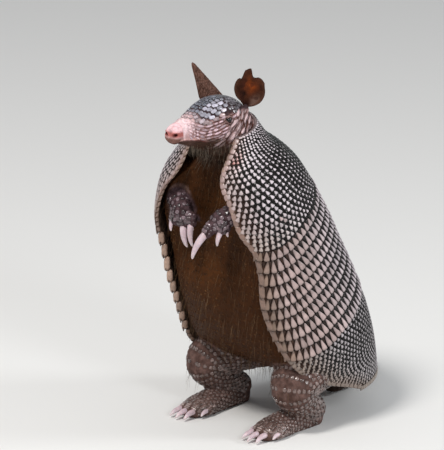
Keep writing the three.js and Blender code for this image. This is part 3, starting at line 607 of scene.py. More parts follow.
def shield_coat(prefix, s_from, s_to, dfun, pitch, size, pale_col, slot, margin=6.4, keep=None, marginal=6.6, end=None):
    """The pale scutes with their dark granules."""
    surf = lambda s, f, d: back_surface(s, f, d + dfun(s, f))
    s, f, row, p = lattice(s_from, s_to, pitch, surf, margin)
    s = s + rng.normal(0, 0.0009, len(s))
    f = f + rng.normal(0, 0.0016, len(s))
    ok = np.ones(len(s), bool) if keep is None else keep(s, f)
    s, f, p = s[ok], f[ok], p[ok]
    pale, dark, fine = Coat(), Coat(), Coat()
    P = surf(s, f, 0 * s)
    a, b = size(s, f, p)
    a = a * (1 + rng.normal(0, 0.07, len(s)))
    b = b * (1 + rng.normal(0, 0.07, len(s)))
    # where the rings draw together a scute is shorter
    ahead = lambda x, y: np.linalg.norm(surf(x + 1e-3, y, 0 * x) - surf(x, y, 0 * x), axis=1)
    b = np.minimum(b, 0.56 * 0.866 * p * ahead(s, f) / ahead(s, 0 * f + 0.55))
    a = np.minimum(a, b * 1.12)
    col = pale_col(s, f, P)
    edge = mix(col * 0.35, plate_colour(s, f, P) * 1.3, 0.5)
    bake = (s_from, s_to, -1, 1)
    h = 0.6 + 0.3 * smooth(1.0, 2.6, a)
    pads(pale, surf, s, f, a, b, h, col, edge, TEAR, rot=rng.normal(0, 0.09, len(s)), bake=bake, wob=0.05, gloss=1.0)
    # granules at the corners between three scutes, then at the middles between two
    step = np.linalg.norm(surf(s + 1e-3, f, 0 * s) - surf(s, f, 0 * s), axis=1) / 1e-3
    arc = np.linalg.norm(surf(s, f + 1e-3, 0 * s) - surf(s, f, 0 * s), axis=1) / 1e-3
    places = [(0, 0.577, 0.20, 0.17), (0, -0.577, 0.17, 0.15), (0.5, 0.0, 0.12, 0.16), (0.25, 0.433, 0.13, 0.13), (-0.25, 0.433, 0.13, 0.13)]
    for n, (da, db, ga, gb) in enumerate(places):
        near = np.abs(f) < (2.0 if n < 2 else 0.93)
        if n >= 2:
            near &= a < 0.40 * p
        ss = s + db * p / step + rng.normal(0, 0.0006, len(s))
        ff = f + da * p / arc + rng.normal(0, 0.0012, len(s))
        near &= (ss > s_from - 0.002) & (ss < s_to + 0.004) & (np.abs(ff) < 0.985)
        if end is not None:
            near &= ss < end(ff)
        gs, gf = ss[near], ff[near]
        gP = surf(gs, gf, 0 * gs)
        g = plate_colour(gs, gf, gP) * (0.9 + 1.0 * rng.random((len(gs), 1)) ** 2)
        g = g + rgb(120, 118, 116) * (rng.random((len(gs), 1)) > 0.8) * rng.random((len(gs), 1))
        pads(dark if n < 2 else fine, surf, gs, gf, ga * p[near] * (0.85 + 0.3 * rng.random(len(gs))), gb * p[near] * (0.85 + 0.3 * rng.random(len(gs))), 0.42, g, g * 0.5, GRAIN,
             rot=rng.random(len(gs)), bake=bake, gloss=0.0)
    return surf, pale, dark, fine, bake


def rim_row(coat, surf, sign, s_lo, s_hi, length, a, col, bake, inset=2.7, grow=1.0):
    ss = np.linspace(s_lo, s_hi, 400)
    P = surf(ss, sign * np.ones(400), 0 * ss)
    t = np.concatenate([[0], np.cumsum(np.linalg.norm(np.diff(P, axis=0), axis=1))])
    lens = []
    x = 0.0
    while x < t[-1] - length * 0.5:
        g = length * (mix(0.8, grow, x / t[-1]))
        lens.append((x + g / 2, g))
        x += g
    c = np.interp([l[0] for l in lens], t, ss)
    g = np.array([l[1] for l in lens])
    arc = np.linalg.norm(surf(c, sign * (1 - 1e-3) + 0 * c, 0 * c) - surf(c, sign + 0 * c, 0 * c), axis=1) / 1e-3
    f = sign * (1 - inset / arc)
    cc = col(c, f, surf(c, f, 0 * c)) * (0.9 + 0.2 * rng.random((len(c), 1)))
    pads_along(coat, surf, c, f, a + 0 * c, g * 0.47, 0.75, cc, cc * np.array([0.45, 0.34, 0.28]), RECT, bake)


def rim_beads(coat, dfun, sign, cuts, Rn, Rt, off, col, bake, out=0.0):
    """The thick edge of the armour: a rounded block at the end of each row, closed at both ends."""
    nu, nv = 14, 9
    t = np.linspace(0, 1, nv)
    k = (1 - np.abs(2 * t * 0.985 + 0.0075 * 2 - 1) ** 4) ** 0.42
    ang = np.linspace(0, 2 * math.pi, nu, endpoint=False)
    ca, sa = np.sign(np.cos(ang)) * np.abs(np.cos(ang)) ** 0.75, np.sign(np.sin(ang)) * np.abs(np.sin(ang)) ** 0.75
    for s0, s1 in cuts:
        ss = mix(s0, s1, t)
        one = np.full(nv, float(sign))
        d0 = dfun(ss, one)
        P0 = back_surface(ss, one, d0 - PLATE / 2 + out)
        nrm = unit(back_surface(ss, one, d0 + 1) - back_surface(ss, one, d0))
        tan = unit(back_surface(ss, one, d0) - back_surface(ss, one * 0.999, d0))
        wob = 1 + rng.normal(0, 0.03, (nv, nu))
        V = P0[:, None] + nrm[:, None] * (Rn * k[:, None] * ca * wob)[..., None] + tan[:, None] * (Rt * k[:, None] * sa * wob - off)[..., None]
        V = np.concatenate([V.reshape(-1, 3), V[0].mean(0)[None], V[-1].mean(0)[None]])
        g = grid_faces(nu, nv, close_u=True)
        n = nu * nv
        i = np.arange(nu)
        j = (i + 1) % nu
        caps = np.concatenate([np.stack([j, i, np.full(nu, n)], -1), np.stack([n - nu + i, n - nu + j, np.full(nu, n + 1)], -1)])
        faces = [g, caps]
        if not normals_out(V - V.mean(0), faces):
            faces = [a[:, ::-1] for a in faces]
        c0 = col * rng.uniform(0.86, 1.12)
        C = np.repeat(mix(c0 * np.array([0.24, 0.17, 0.13]), c0, smooth(0.01, 0.17, np.minimum(t, 1 - t))[:, None]), nu, axis=0)
        C = C * (0.85 + 0.3 * noise(V[:n], 0.5, 15)[:, None])
        C = np.concatenate([C, C[:1], C[-1:]])
        p0, p1, q0, q1 = bake
        sm = (s0 + s1) / 2
        uv = np.array([0.02 + 0.96 * (sign - q0) / (q1 - q0), 0.02 + 0.96 * (sm - p0) / (p1 - p0)]) + 0.0014 * np.concatenate([np.stack([np.tile(sa, nv), np.repeat(2 * t - 1, nu)], -1), [[0, 0], [0, 0]]])
        coat.add(V, faces, C, uv, 1.0)


def equal_cuts(sign, s_lo, s_hi, length):   # stations that divide a rim into equal lengths
    ss = np.linspace(s_lo, s_hi, 400)
    P = back_surface(ss, np.full(400, float(sign)), 0 * ss)
    t = np.concatenate([[0], np.cumsum(np.linalg.norm(np.diff(P, axis=0), axis=1))])
    n = max(2, int(round(t[-1] / length)))
    c = np.interp(np.linspace(0, t[-1], n + 1), t, ss)
    return list(zip(c[:-1], c[1:]))


def pads_along(coat, surf, p, q, a, b, h, col, edge, tmpl, bake, gloss=1.0, wob=0.03):
    """As pads, with the long axis kept parallel to the surface's own p lines."""
    m = len(p)
    e = 1e-3
    P0 = surf(p, q, 0 * p)
    Pp = (surf(p + e, q, 0 * p) - P0) / e
    Pq = (surf(p, q + e, 0 * p) - P0) / e
    Lp = np.linalg.norm(Pp, axis=1)
    e2 = Pp / Lp[:, None]
    al = np.einsum("ij,ij->i", Pq, e2)
    be = np.linalg.norm(Pq - al[:, None] * e2, axis=1)
    ta, tb = tmpl["p"][:, 0], tmpl["p"][:, 1]
    k = len(ta)
    h = np.broadcast_to(np.asarray(h, float), (m,))
    th = np.arctan2(ta, -tb)
    ph = rng.random((m, 2)) * 6.28
    wv = 1 + wob * (np.sin(th[None] * 2 + ph[:, :1]) + np.sin(th[None] * 3 + ph[:, 1:]))
    A, B = ta[None] * a[:, None] * wv, tb[None] * b[:, None] * wv
    dq = A / be[:, None]
    ds = (B - al[:, None] * dq) / Lp[:, None]
    V = surf(p[:, None] + ds, q[:, None] + dq, tmpl["h"][None] * h[:, None])
    C = col[:, None] * (1 - tmpl["e"][None, :, None]) + edge[:, None] * tmpl["e"][None, :, None]
    p0, p1, q0, q1 = bake
    u = 0.02 + 0.96 * clamp((q - q0) / (q1 - q0), 0, 1)
    w = 0.02 + 0.96 * clamp((p - p0) / (p1 - p0), 0, 1)
    UVs = np.stack([u[:, None] + 0.0014 * ta[None], w[:, None] + 0.0014 * tb[None]], -1)
    off = (np.arange(m) * k)[:, None, None]
    quads = (tmpl["quads"][None] + off).reshape(-1, 4)
    tris = (tmpl["tris"][None] + off).reshape(-1, 3)
    vv = V.reshape(-1, 3)
    if not normals_out(vv[:k] - vv[:k].mean(0), [tmpl["quads"], tmpl["tris"]]):
        quads, tris = quads[:, ::-1], tris[:, ::-1]
    coat.add(vv, [quads, tris], C.reshape(-1, 3), UVs.reshape(-1, 2), gloss)


SORE, SPOT = (0.040, 0.885), (0.223, 0.745)   # a rubbed place and a brown scute, both on the left: station and share of the way to the rim
PALE = rgb(196, 185, 190)
TAUPE = rgb(160, 138, 132)
BACKPALE = rgb(110, 116, 112)


def scapular_pale(s, f, P):
    af = np.abs(f)
    k = noise(P, 0.12, 21)[..., None]
    c = mix(PALE, TAUPE, smooth(0.72, 0.98, af)[..., None] * 0.75)
    low = smooth(0.18, 0.28, s) * smooth(0.5, 0.9, af)
    c = mix(c, rgb(172, 158, 148), 0.6 * low[..., None])
    fade = (1 - smooth(0.22, 0.46, af)) * (1 - smooth(0.2, 0.3, s) * 0.6)
    c = mix(c, BACKPALE * 0.42, fade[..., None])
    # a rubbed raw spot near the front of the left rim, and a small brown one
    sore = np.exp(-((s - SORE[0]) / 0.012) ** 2 - ((f - SORE[1]) / 0.05) ** 2)[..., None] * (0.45 + 0.9 * rng.random(c.shape[:-1])[..., None])
    c = mix(c, rgb(160, 98, 88), clamp(sore * 1.1, 0, 1))
    spot = np.exp(-((s - SPOT[0]) / 0.006) ** 2 - ((f - SPOT[1]) / 0.018) ** 2)[..., None]
    c = mix(c, rgb(120, 70, 45), clamp(spot * 1.5, 0, 1))
    return c * (0.86 + 0.28 * k) * (1 + rng.normal(0, 0.07, c.shape[:-1])[..., None])


def scapular_size(s, f, p):
    af = np.abs(f)
    a = p * (0.155 + 0.055 * smooth(0.25, 0.5, af) + 0.15 * smooth(0.46, 0.78, af) + 0.03 * smooth(0.8, 0.97, af))
    return a, a * 1.16


base = Coat()
plate_mesh(base, 0.0, SHIELD_END, scapular_d, 150, 44, plate_colour, round_front=0.4)
piece(base.make("scapular_plate", M_PLATE), "shield_scutes", "scapular_shield")
surf_s, pale, dark, fine, bk = shield_coat("scapular", 0.0022, SHIELD_END - 0.034, scapular_d, lambda s: float(mix(3.1, 5.9, smooth(0.0, 0.11, s))), scapular_size, scapular_pale, "shield_scutes")
rim_col = lambda s, f, P: mix(rgb(158, 134, 130), rgb(126, 100, 88), smooth(0.08, 0.24, s)[..., None]) * (0.9 + 0.2 * noise(P, 0.3, 8)[..., None])
for sg in (-1, 1):
    rim_row(pale, surf_s, sg, 0.002, SHIELD_END - 0.002, 6.4, 2.5, rim_col, bk, grow=1.25)
    rim_beads(pale, scapular_d, sg, equal_cuts(sg, 0.004, SHIELD_END - 0.001, 7.0), 2.3, 2.2, 1.7, rgb(140, 116, 104), bk)
# a row of small scutes along the collar
cf_, ct_ = arc_table(0.0015, surf_s)
cd = np.arange(4.0, ct_[-1] - 4.0, 3.5)
cf_ = np.interp(cd, ct_, cf_)
cc = scapular_pale(0 * cf_ + 0.0015, cf_, surf_s(0 * cf_ + 0.0015, cf_, 0 * cf_)) * 0.9
pads(pale, surf_s, 0 * cf_ + 0.0016, cf_, 1.2, 1.15, 0.6, cc, cc * 0.4, ROUND, bake=bk, wob=0.06, gloss=1.0)

def kite_row(kite, dark, surf, s0, s1, bake, odd, a_lo=1.75):
    """One row of long scutes on a hind margin, each with its base on the margin, and dark wedges between their points."""
    pitch = 6.6
    f_, t_ = arc_table(s1 - 0.006, surf)
    half = t_[-1] / 2
    d = np.arange(3.3 + (3.0 if odd else 6.6), half - 0.25 * pitch, pitch)
    fr = np.interp(d, t_, f_)
    f = np.concatenate([fr, -fr[::-1]])
    # a block fills the corner at each rim
    bf = np.interp([1.55 if odd else 1.95], t_, f_)
    bf = np.concatenate([bf, -bf])
    bs = np.full(2, mix(s0, s1, 0.52))
    blen = np.linalg.norm(surf(bs + 0.5 * (s1 - s0), bf, 0 * bs) - surf(bs - 0.5 * (s1 - s0), bf, 0 * bs), axis=1)
    bc = rgb(114, 90, 76) * (0.85 + 0.3 * rng.random((2, 1)))
    pads(kite, surf, bs, bf, 1.4 if odd else 1.75, blen * 0.45, 0.85, bc, mix(bc * 0.45, BROWN * 1.1, 0.45), RECT, bake=bake, wob=0.02, gloss=1.0)
    af = np.abs(f)
    s = np.full(len(f), s1)
    length = np.linalg.norm(surf(s, f, 0 * s) - surf(s - (s1 - s0), f, 0 * s), axis=1)
    b = length * mix(0.30, 0.46, smooth(0.3, 0.8, af)) * (1 + rng.normal(0, 0.03, len(f)))
    a = mix(a_lo, 2.92, smooth(0.25, 0.7, af)) * (1 + rng.normal(0, 0.04, len(f)))
    s = s1 - (b * 1.03) / length * (s1 - s0)
    P = surf(s, f, 0 * s)
    c = mix(rgb(190, 178, 182), rgb(170, 148, 144), smooth(0.35, 0.8, af)[:, None])
    c = mix(c, rgb(126, 102, 86), smooth(0.86, 0.99, af)[:, None])
    c = c * (0.86 + 0.28 * noise(P, 0.1, 31)[:, None]) * (1 + rng.normal(0, 0.07, (len(f), 1)))
    edge = mix(c * 0.45, BROWN * 1.1, 0.45)
    pads(kite, surf, s, f, a, b, 0.85, c, edge, KITE, rot=rng.normal(0, 0.04, len(f)), bake=bake, wob=0.02, gloss=1.0)
    # the dark wedges between, wide towards the head
    gf = np.interp(d - 0.5 * pitch, t_, f_)
    gf = np.concatenate([gf, -gf[::-1]])
    gs = np.full(len(gf), s1)
    glen = np.linalg.norm(surf(gs, gf, 0 * gs) - surf(gs - (s1 - s0), gf, 0 * gs), axis=1)
    gb = glen * 0.27
    gs = s1 - (glen * 0.66) / glen * (s1 - s0)
    gP = surf(gs, gf, 0 * gs)
    g = mix(rgb(20, 17, 15), rgb(50, 29, 17), smooth(0.62, 0.95, np.abs(gf))[:, None]) * (0.7 + 0.7 * noise(gP, 0.16, 41)[:, None])
    # towards the back mid-line the wedges take the grey-green that holds the painted sky reflection
    g = mix(g, DARK_BACK, (0.35 * (1 - smooth(0.15, 0.45, np.abs(gf))))[:, None])
    pads(dark, surf, gs, gf, 1.9, gb, 0.5, g, g * 0.5, DARK_KITE, bake=bake, wob=0.04)
    # small granules along the front of the row and beside each scute's point
    for da, db, ga in ((0.0, 0.90, 0.85), (0.5, 0.84, 0.75), (-0.27, 0.72, 0.62), (0.27, 0.74, 0.62), (0.5, 0.3, 0.45)):
        arc = np.linalg.norm(surf(s, f + 1e-3, 0 * s) - surf(s, f, 0 * s), axis=1) / 1e-3
        hs = s1 - db * (s1 - s0) + rng.normal(0, 0.0008, len(f))
        hf = f + da * pitch / arc
        okk = (np.abs(hf) < 0.985)
        hs, hf = hs[okk], hf[okk]
        hP = surf(hs, hf, 0 * hs)
        hc = plate_colour(hs, hf, hP) * (0.9 + 1.0 * rng.random((len(hs), 1)) ** 2)
        hc = hc + rgb(112, 104, 100) * (rng.random((len(hs), 1)) > 0.75) * rng.random((len(hs), 1))
        pads(dark, surf, hs, hf, ga, ga * 0.95, 0.42, hc, hc * 0.5, GRAIN, rot=rng.random(len(hs)), bake=bake)


kite_row(pale, dark, surf_s, SHIELD_END - 0.036, SHIELD_END - 0.001, bk, True)
piece(pale.make("scapular_scutes", M_PALE), "shield_scutes")
piece(dark.make("scapular_granules", M_DARK), "shield_scutes")
piece(fine.make("scapular_fine_granules", M_DARK), "shield_scutes")

# bands
kite, gap_kite = Coat(), Coat()
band_bake = (SHIELD_END, PELVIC_START, -1, 1)
for i in range(BANDS):
    s0, s1 = band_span(i)
    dfun = band_d(i)
    base = Coat()
    plate_mesh(base, s0, s1, dfun, 170, 12, plate_colour, round_front=0.3, round_back=0.9, inner=-PLATE)
    piece(base.make(f"band_{i + 1}_plate", M_PLATE), "band_scutes", f"band_{i + 1}")
    # the blocks at the band ends: painted darker on the left rim with the shade that fell there, paler on the right
    # with painted sunlight
    for sg in (-1, 1):
        rim_beads(kite, dfun, sg, [(s0 - 0.0034, s1 + 0.0022)], 3.3, 2.9, 2.0, rgb(118, 94, 82) if sg > 0 else rgb(162, 134, 117), band_bake, out=0.5)
    kite_row(kite, gap_kite, lambda s, f, d, g=dfun: back_surface(s, f, d + g(s, f)), s0, s1, band_bake, i % 2 == 1)
piece(kite.make("band_scutes", M_PALE), "band_scutes")
piece(gap_kite.make("band_wedges", M_DARK), "band_scutes")

# pelvic shield
base = Coat()
plate_mesh(base, PELVIC_START + 0.0016, 1.0, pelvic_d, 170, 52, plate_colour, has_notch=True)
piece(base.make("pelvic_plate", M_PLATE), "shield_scutes", "pelvic_shield")
pel_end = lambda f: 1.0 - notch(f) - 0.006


def pelvic_pale(s, f, P):
    af = np.abs(f)
    c = mix(rgb(168, 160, 162), rgb(140, 124, 114), smooth(0.7, 0.98, af)[..., None])
    return c * (0.8 + 0.35 * noise(P, 0.11, 51)[..., None]) * (1 + rng.normal(0, 0.07, c.shape[:-1])[..., None])


def pelvic_size(s, f, p):
    af = np.abs(f)
    a = p * (0.21 + 0.09 * smooth(0.35, 0.8, af) + 0.05 * (1 - smooth(PELVIC_START, PELVIC_START + 0.08, s)))
    return a, a * 1.18


surf_p, pale, dark, fine, bk = shield_coat("pelvic", PELVIC_START + 0.010, 0.992, pelvic_d, lambda s: float(mix(5.9, 5.3, smooth(0.72, 0.9, s))), pelvic_size, pelvic_pale, "shield_scutes",
                                     keep=lambda s, f: s < 1.0 - notch(f) - 0.020, end=pel_end)
for sg in (-1, 1):
    rim_beads(pale, pelvic_d, sg, equal_cuts(sg, PELVIC_START + 0.003, 0.99, 7.0), 2.2, 2.1, 1.6, rgb(132, 108, 94), bk)
    rim_row(pale, surf_p, sg, PELVIC_START + 0.004, 0.985, 6.4, 2.3, lambda s, f, P: np.broadcast_to(rgb(124, 108, 98), P.shape) * 1.0, bk, grow=1.1)
hem_f = np.linspace(-0.985, 0.985, 66)
hem_s = 1.0 - notch(hem_f) - 0.008
hc = rgb(128, 114, 104) * (0.8 + 0.35 * rng.random((66, 1)))
pads(pale, surf_p, hem_s, hem_f, 1.9, 2.6, 0.7, hc, hc * 0.4, RECT, bake=bk, wob=0.05, gloss=1.0)
piece(pale.make("pelvic_scutes", M_PALE), "shield_scutes")
piece(dark.make("pelvic_granules", M_DARK), "shield_scutes")
piece(fine.make("pelvic_fine_granules", M_DARK), "shield_scutes")


# ------------------------------------------------------------------ the flesh: closed lofts, made into one skin
FWD = np.array([-math.sin(YAW), -math.cos(YAW), 0.0])
LEFT = np.array([math.cos(YAW), -math.sin(YAW), 0.0])


def in_head(u, v, w):   # back from the nose disc, to the animal's left, up
    u, v, w = np.broadcast_arrays(np.asarray(u, float), np.asarray(v, float), np.asarray(w, float))
    P = NOSE - u[..., None] * FWD + v[..., None] * LEFT
    P[..., 2] += w
    return P


def head_of(P):
    D = P - NOSE
    return -(D @ FWD), D @ LEFT, D[..., 2]


def catmull(points, t):
    P = np.asarray(points, float)
    n = len(P)
    p = (n - 1) * np.clip(np.asarray(t, float), 0, 1)
    i = np.minimum(np.floor(p).astype(int), n - 2)
    w = (p - i)[..., None]
    ext = np.concatenate([[2 * P[0] - P[1]], P, [2 * P[-1] - P[-2]]])
    p0, p1, p2, p3 = ext[i], ext[i + 1], ext[i + 2], ext[i + 3]
    gap = lambda a, b: np.maximum(np.linalg.norm(a - b, axis=-1) ** 0.5, 1e-4)[..., None]
    d0, d1, d2 = gap(p0, p1), gap(p1, p2), gap(p2, p3)
    t1 = ((p1 - p0) / d0 - (p2 - p0) / (d0 + d1) + (p2 - p1) / d1) * d1
    t2 = ((p2 - p1) / d1 - (p3 - p1) / (d1 + d2) + (p3 - p2) / d2) * d1
    return p1 + t1 * w + (-3 * p1 + 3 * p2 - 2 * t1 - t2) * w ** 2 + (2 * p1 - 2 * p2 + t1 + t2) * w ** 3


def tangent(points, t):
    return unit(catmull(points, np.clip(t + 1e-4, 0, 1)) - catmull(points, np.clip(t - 1e-4, 0, 1)))


def loft_mesh(f, nu, nv):
    ang, t = np.meshgrid(2 * math.pi * np.arange(nu) / nu, np.linspace(0, 1, nv))
    ang = np.where(ang > math.pi, ang - 2 * math.pi, ang)
    V = f(ang, t, np.ones_like(t)).reshape(-1, 3)
    z = np.zeros(1)
    V = np.concatenate([V, f(z, z, z), f(z, z + 1, z)])
    i = np.arange(nu)
    j = (i + 1) % nu
    last = (nv - 1) * nu
    faces = [grid_faces(nu, nv, True), np.stack([j, i, 0 * i + nu * nv], -1), np.stack([last + i, last + j, 0 * i + nu * nv + 1], -1)]
    if not normals_out(V - V.mean(0), faces):
        faces = [a[:, ::-1] for a in faces]
    return V, faces


def limb_mesh(points, across, height, nu=36, nv=44, grow=-0.2, up=(0, 0, 1), floor=None):
    n = len(points)
    ks = np.arange(n) / (n - 1)
    up = np.asarray(up, float)

    def f(ang, t, r):
        cap = 0.16
        lo, hi = clamp(t / cap, 0, 1), clamp((1 - t) / cap, 0, 1)
        k = clamp((t - cap) / (1 - 2 * cap), 0, 1)
        c, tan = catmull(points, k), tangent(points, k)
        side = unit(np.cross(tan, up))
        top = np.cross(side, tan)
        a, b = herm(ks, across, k) + grow, herm(ks, height, k) + grow
        s = np.where(t < cap, np.sin(lo * math.pi / 2) * 0.88 + 0.12, np.where(t > 1 - cap, np.sin(hi * math.pi / 2) * 0.88 + 0.12, 1.0))
        push = np.where(t < cap, -np.cos(lo * math.pi / 2), np.where(t > 1 - cap, np.cos(hi * math.pi / 2), 0.0)) * np.minimum(a, b) * 0.8
        q = c + tan * push[..., None] + side * (a * s * r * np.sin(ang))[..., None] + top * (b * s * r * np.cos(ang))[..., None]
        if floor is not None:
            q[..., 2] = np.maximum(q[..., 2], floor)
        return q

    return loft_mesh(f, nu, nv)


def trunk_point(ang, t, r, grow=-0.2):
    lo, hi = clamp(t / 0.1, 0, 1), clamp((1 - t) / 0.1, 0, 1)
    s = mix(0.1 - grow * 0.006, 0.955 + grow * 0.006, clamp((t - 0.05) / 0.9, 0, 1)) + 0.024 * (1 - hi) - 0.012 * (1 - lo)
    k = np.minimum(np.sin(lo * math.pi / 2) * 0.9 + 0.1, np.sin(hi * math.pi / 2) * 0.72 + 0.28) * r
    th = wrap(s) - math.radians(3)
    inset = -PLATE - 1.65 + grow
    w, sg = np.abs(ang), np.where(ang < 0, -1.0, 1.0)
    share = 0.72 * math.pi
    tuck = lambda a: inset - 4.5 * smooth(th - math.radians(30), th, a)
    H, R = at(HALF_WIDTH, s), at(RADIUS, s)
    rx, rn = (H + tuck(th)) * np.sin(th), (R + tuck(th)) * np.cos(th)
    a = np.minimum(w / share, 1) * th
    q = clamp((w - share) / (math.pi - share), 0, 1) * math.pi / 2
    x = np.where(w <= share, (H + tuck(a)) * np.sin(a), rx * np.cos(q))
    n = np.where(w <= share, (R + tuck(a)) * np.cos(a), rn - (at(SWELL, s) + grow) * np.sin(q))
    mid = (R + rn) * 0.2
    return ring(s, sg * x * k, mid + (n - mid) * k)


def head_section(u, ang, d=0.0):
    a, top, bot = herm(HEAD_U, HEAD_A, u) + d, herm(HEAD_U, HEAD_T, u) + d, herm(HEAD_U, HEAD_B, u) - d
    c = mix(-1, -4, smooth(10, 60, u))
    cx, cz, e = np.sin(ang), np.cos(ang), 2.35
    m = (np.abs(cx) ** e + np.abs(cz) ** e) ** (-1 / e)
    x = a * cx * m
    z = np.where(cz > 0, (top - c) * cz * m, (c - bot) * cz * m)
    x = np.where(cz < 0, x * (1 - 0.22 * smooth(0, 1, -cz * m)), x)
    return x, z, c


def head_surface(u, ang, d=0.0):
    x, z, c = head_section(u, ang, d)
    return in_head(u, x, c + z)


def head_loft(ang, t, r):   # the muzzle ends in a dome, the back of the head in another
    front, rear = clamp(t / 0.07, 0, 1), clamp((1 - t) / 0.14, 0, 1)
    fs = np.sin(front * math.pi / 2)
    u = mix(0, 99, clamp((t - 0.035) / 0.895, 0, 1)) + (1 - np.sin(rear * math.pi / 2)) * 3
    u = np.maximum(u, 3.6 * (1 - np.cos(np.arcsin(np.minimum(fs * 0.98, 1)))) * (front < 1)) * np.where(r > 0, 1, (t > 0.5))
    k = np.minimum(fs, 0.25 + 0.75 * np.sin(rear * math.pi / 2)) * r
    x, z, c = head_section(u, ang, -0.25)
    return in_head(u, x * k, c + z * k)


def ellipsoid(cu, cv, cw, ru, rv, rw):
    return loft_mesh(lambda ang, t, r: in_head(cu - ru * np.cos(t * math.pi), cv + rv * np.sin(t * math.pi) * np.sin(ang) * (r > 0), cw + rw * np.sin(t * math.pi) * np.cos(ang) * (r > 0)), 32, 24)


NECK_P, NECK_A, NECK_B = [[0, -84, 258], [0, -85, 284], [0.5, -87, 302], [1.5, -88, 316]], [27, 28.5, 29, 23], [20, 21, 21.5, 17]
LEG_UP = np.array([0, -0.3, 1.0])
FORELEG = {s: [[p["sg"] * 50, -78, 226], p["elbow"], [mix(p["elbow"][0], p["wrist"][0], 0.5), mix(p["elbow"][1], p["wrist"][1], 0.55), mix(p["elbow"][2], p["wrist"][2], 0.5) + 2], p["wrist"]] for s, p in PAW.items()}
PALM = {s: [[p["wrist"][0], p["wrist"][1] - 2, p["wrist"][2] - 3], p["palm"], [p["palm"][0] * 0.96, p["palm"][1] - 3, p["palm"][2] - 8]] for s, p in PAW.items()}
HINDLEG = {sg: [[sg * 40, 22, 58], [sg * 52, -22, 60], [sg * 60, -50, 46], [sg * 55, -30, 26], [sg * 51, -12, 15]] for sg in (1, -1)}
HINDFOOT = {sg: [[sg * 50.5, -14, 8], [sg * 50, -44, 8.2], [sg * 50, -70, 6.6], [sg * 50.5, -84, 5]] for sg in (1, -1)}
FORE_TOES, HIND_TOES = [], []
for side, p in PAW.items():
    for root, tip, size in p["toes"]:
        r0 = np.array(root, float)
        d = np.array(tip, float) - r0
        L = np.linalg.norm(d)
        FORE_TOES.append((side, r0, d / L, L, size))
for sg in (1, -1):
    for i, x in enumerate([-15, -8, 0, 8, 14.5]):
        inner = i in (0, 4)
        y, L = (-73 if inner else -87 if i == 2 else -85), (15 if inner else 21)
        size = 2.9 if inner else 3.6
        a = x * 0.012
        HIND_TOES.append((sg, np.array([sg * (50 + x * (0.98 if inner else 1)), y, 5.6]), np.array([math.sin(a) * sg, -math.cos(a), -0.1]), L, size))

flesh = [loft_mesh(trunk_point, 96, 90), loft_mesh(head_loft, 64, 90), ellipsoid(92, 0, -8.2, 19.5, 28.5, 19.5),
         limb_mesh(NECK_P, NECK_A, NECK_B, up=(0, 1, 0.3))]
for side, p in PAW.items():
    flesh.append(limb_mesh(FORELEG[side], [20, 17, 13.5, 11], [20, 17, 13, 9.5], up=LEG_UP))
    flesh.append(limb_mesh(PALM[side], p["pw"], [8.5, 9, 7], up=(0, -1, 0.2)))
for side, r0, d, L, size in FORE_TOES:
    flesh.append(limb_mesh([r0 - 6 * d, r0, r0 + 2.5 * d], [size + 1.6, size + 1.5, size + 0.7], [size + 1.4, size + 1.3, size + 0.5], 20, 18, -0.1, (0, -1, 0.35)))
for sg in (1, -1):
    flesh.append(limb_mesh(HINDLEG[sg], [26, 27, 21.5, 16, 13], [30, 30, 23, 16, 12.5], up=(sg, 0.25, 0.1)))
    flesh.append(limb_mesh(HINDFOOT[sg], [12, 14, 17, 14], [14.5, 14.3, 11, 8], floor=0))
for sg, r0, d, L, size in HIND_TOES:
    flesh.append(limb_mesh([[r0[0] - d[0] * 9, r0[1] - d[1] * 9, 6.4], r0, [r0[0] + d[0] * 3, r0[1] + d[1] * 3, 5]], [size + 1, size + 0.9, size + 0.2], [size + 1.6, size + 1, size], 20, 18, -0.1, floor=0))


def tail_surface(k, ang, d=0.0):
    c, tan = catmull(TAIL_POINTS, k), tangent(TAIL_POINTS, k)
    side = unit(np.cross(tan, np.array([0, 0, 1.0])))
    top = np.cross(side, tan)
    R = herm(np.arange(7) / 6, TAIL_RADII, k) + d
    q = c + side * (R * np.sin(ang))[..., None] + top * (R * np.cos(ang))[..., None]
    q[..., 2] = np.maximum(q[..., 2], 0)
    return q


def tail_loft(ang, t, r):
    k = mix(0.0, 1.0, t)
    shrink = np.where(t > 0.962, np.sqrt(np.maximum(0.08, 1 - ((t - 0.962) / 0.038) ** 2)), 1.0)
    R = herm(np.arange(7) / 6, TAIL_RADII, k)
    return tail_surface(k, ang, R * (shrink * r - 1) - 0.2)


def ear_frame(sg):
    u0, v0, w0 = (88.5, 18.6, 14.5) if sg > 0 else (88.9, 13.4, 16)
    lean = (-0.5, 9, 39) if sg > 0 else (-19.5, -27, 37.9)
    face = (0.8, 0.6) if sg > 0 else (0.588, -0.809)
    k = unit(-lean[0] * FWD + lean[1] * LEFT + np.array([0, 0, lean[2]]))
    m = face[0] * FWD + face[1] * LEFT
    m = unit(m - (m @ k) * k)
    return in_head(u0, v0 * sg, w0), k, m, np.cross(k, m), (40.0 if sg > 0 else 47.0)


flesh.append(loft_mesh(tail_loft, 40, 160))
for sg, lift in ((1, 2.0), (-1, 2.0)):   # the roots of the ears
    b0, k0, m0, q0, L0 = ear_frame(sg)
    flesh.append(limb_mesh([b0 - k0 * 9, b0 - k0 * 2.5 - m0 * 2.0, b0 + k0 * lift - m0 * 3.4], [5.5, 3.9, 2.4], [5.5, 3.9, 2.4], 20, 18, 0.0, (0, -1, 0.1)))


def triangles(o, dg=None):
    me = o.data
    me.calc_loop_triangles()
    v = np.empty(len(me.vertices) * 3)
    me.vertices.foreach_get("co", v)
    t = np.empty(len(me.loop_triangles) * 3, np.int32)
    me.loop_triangles.foreach_get("vertices", t)
    return v.reshape(-1, 3) * 1000 + ORIGIN, t.reshape(-1, 3)


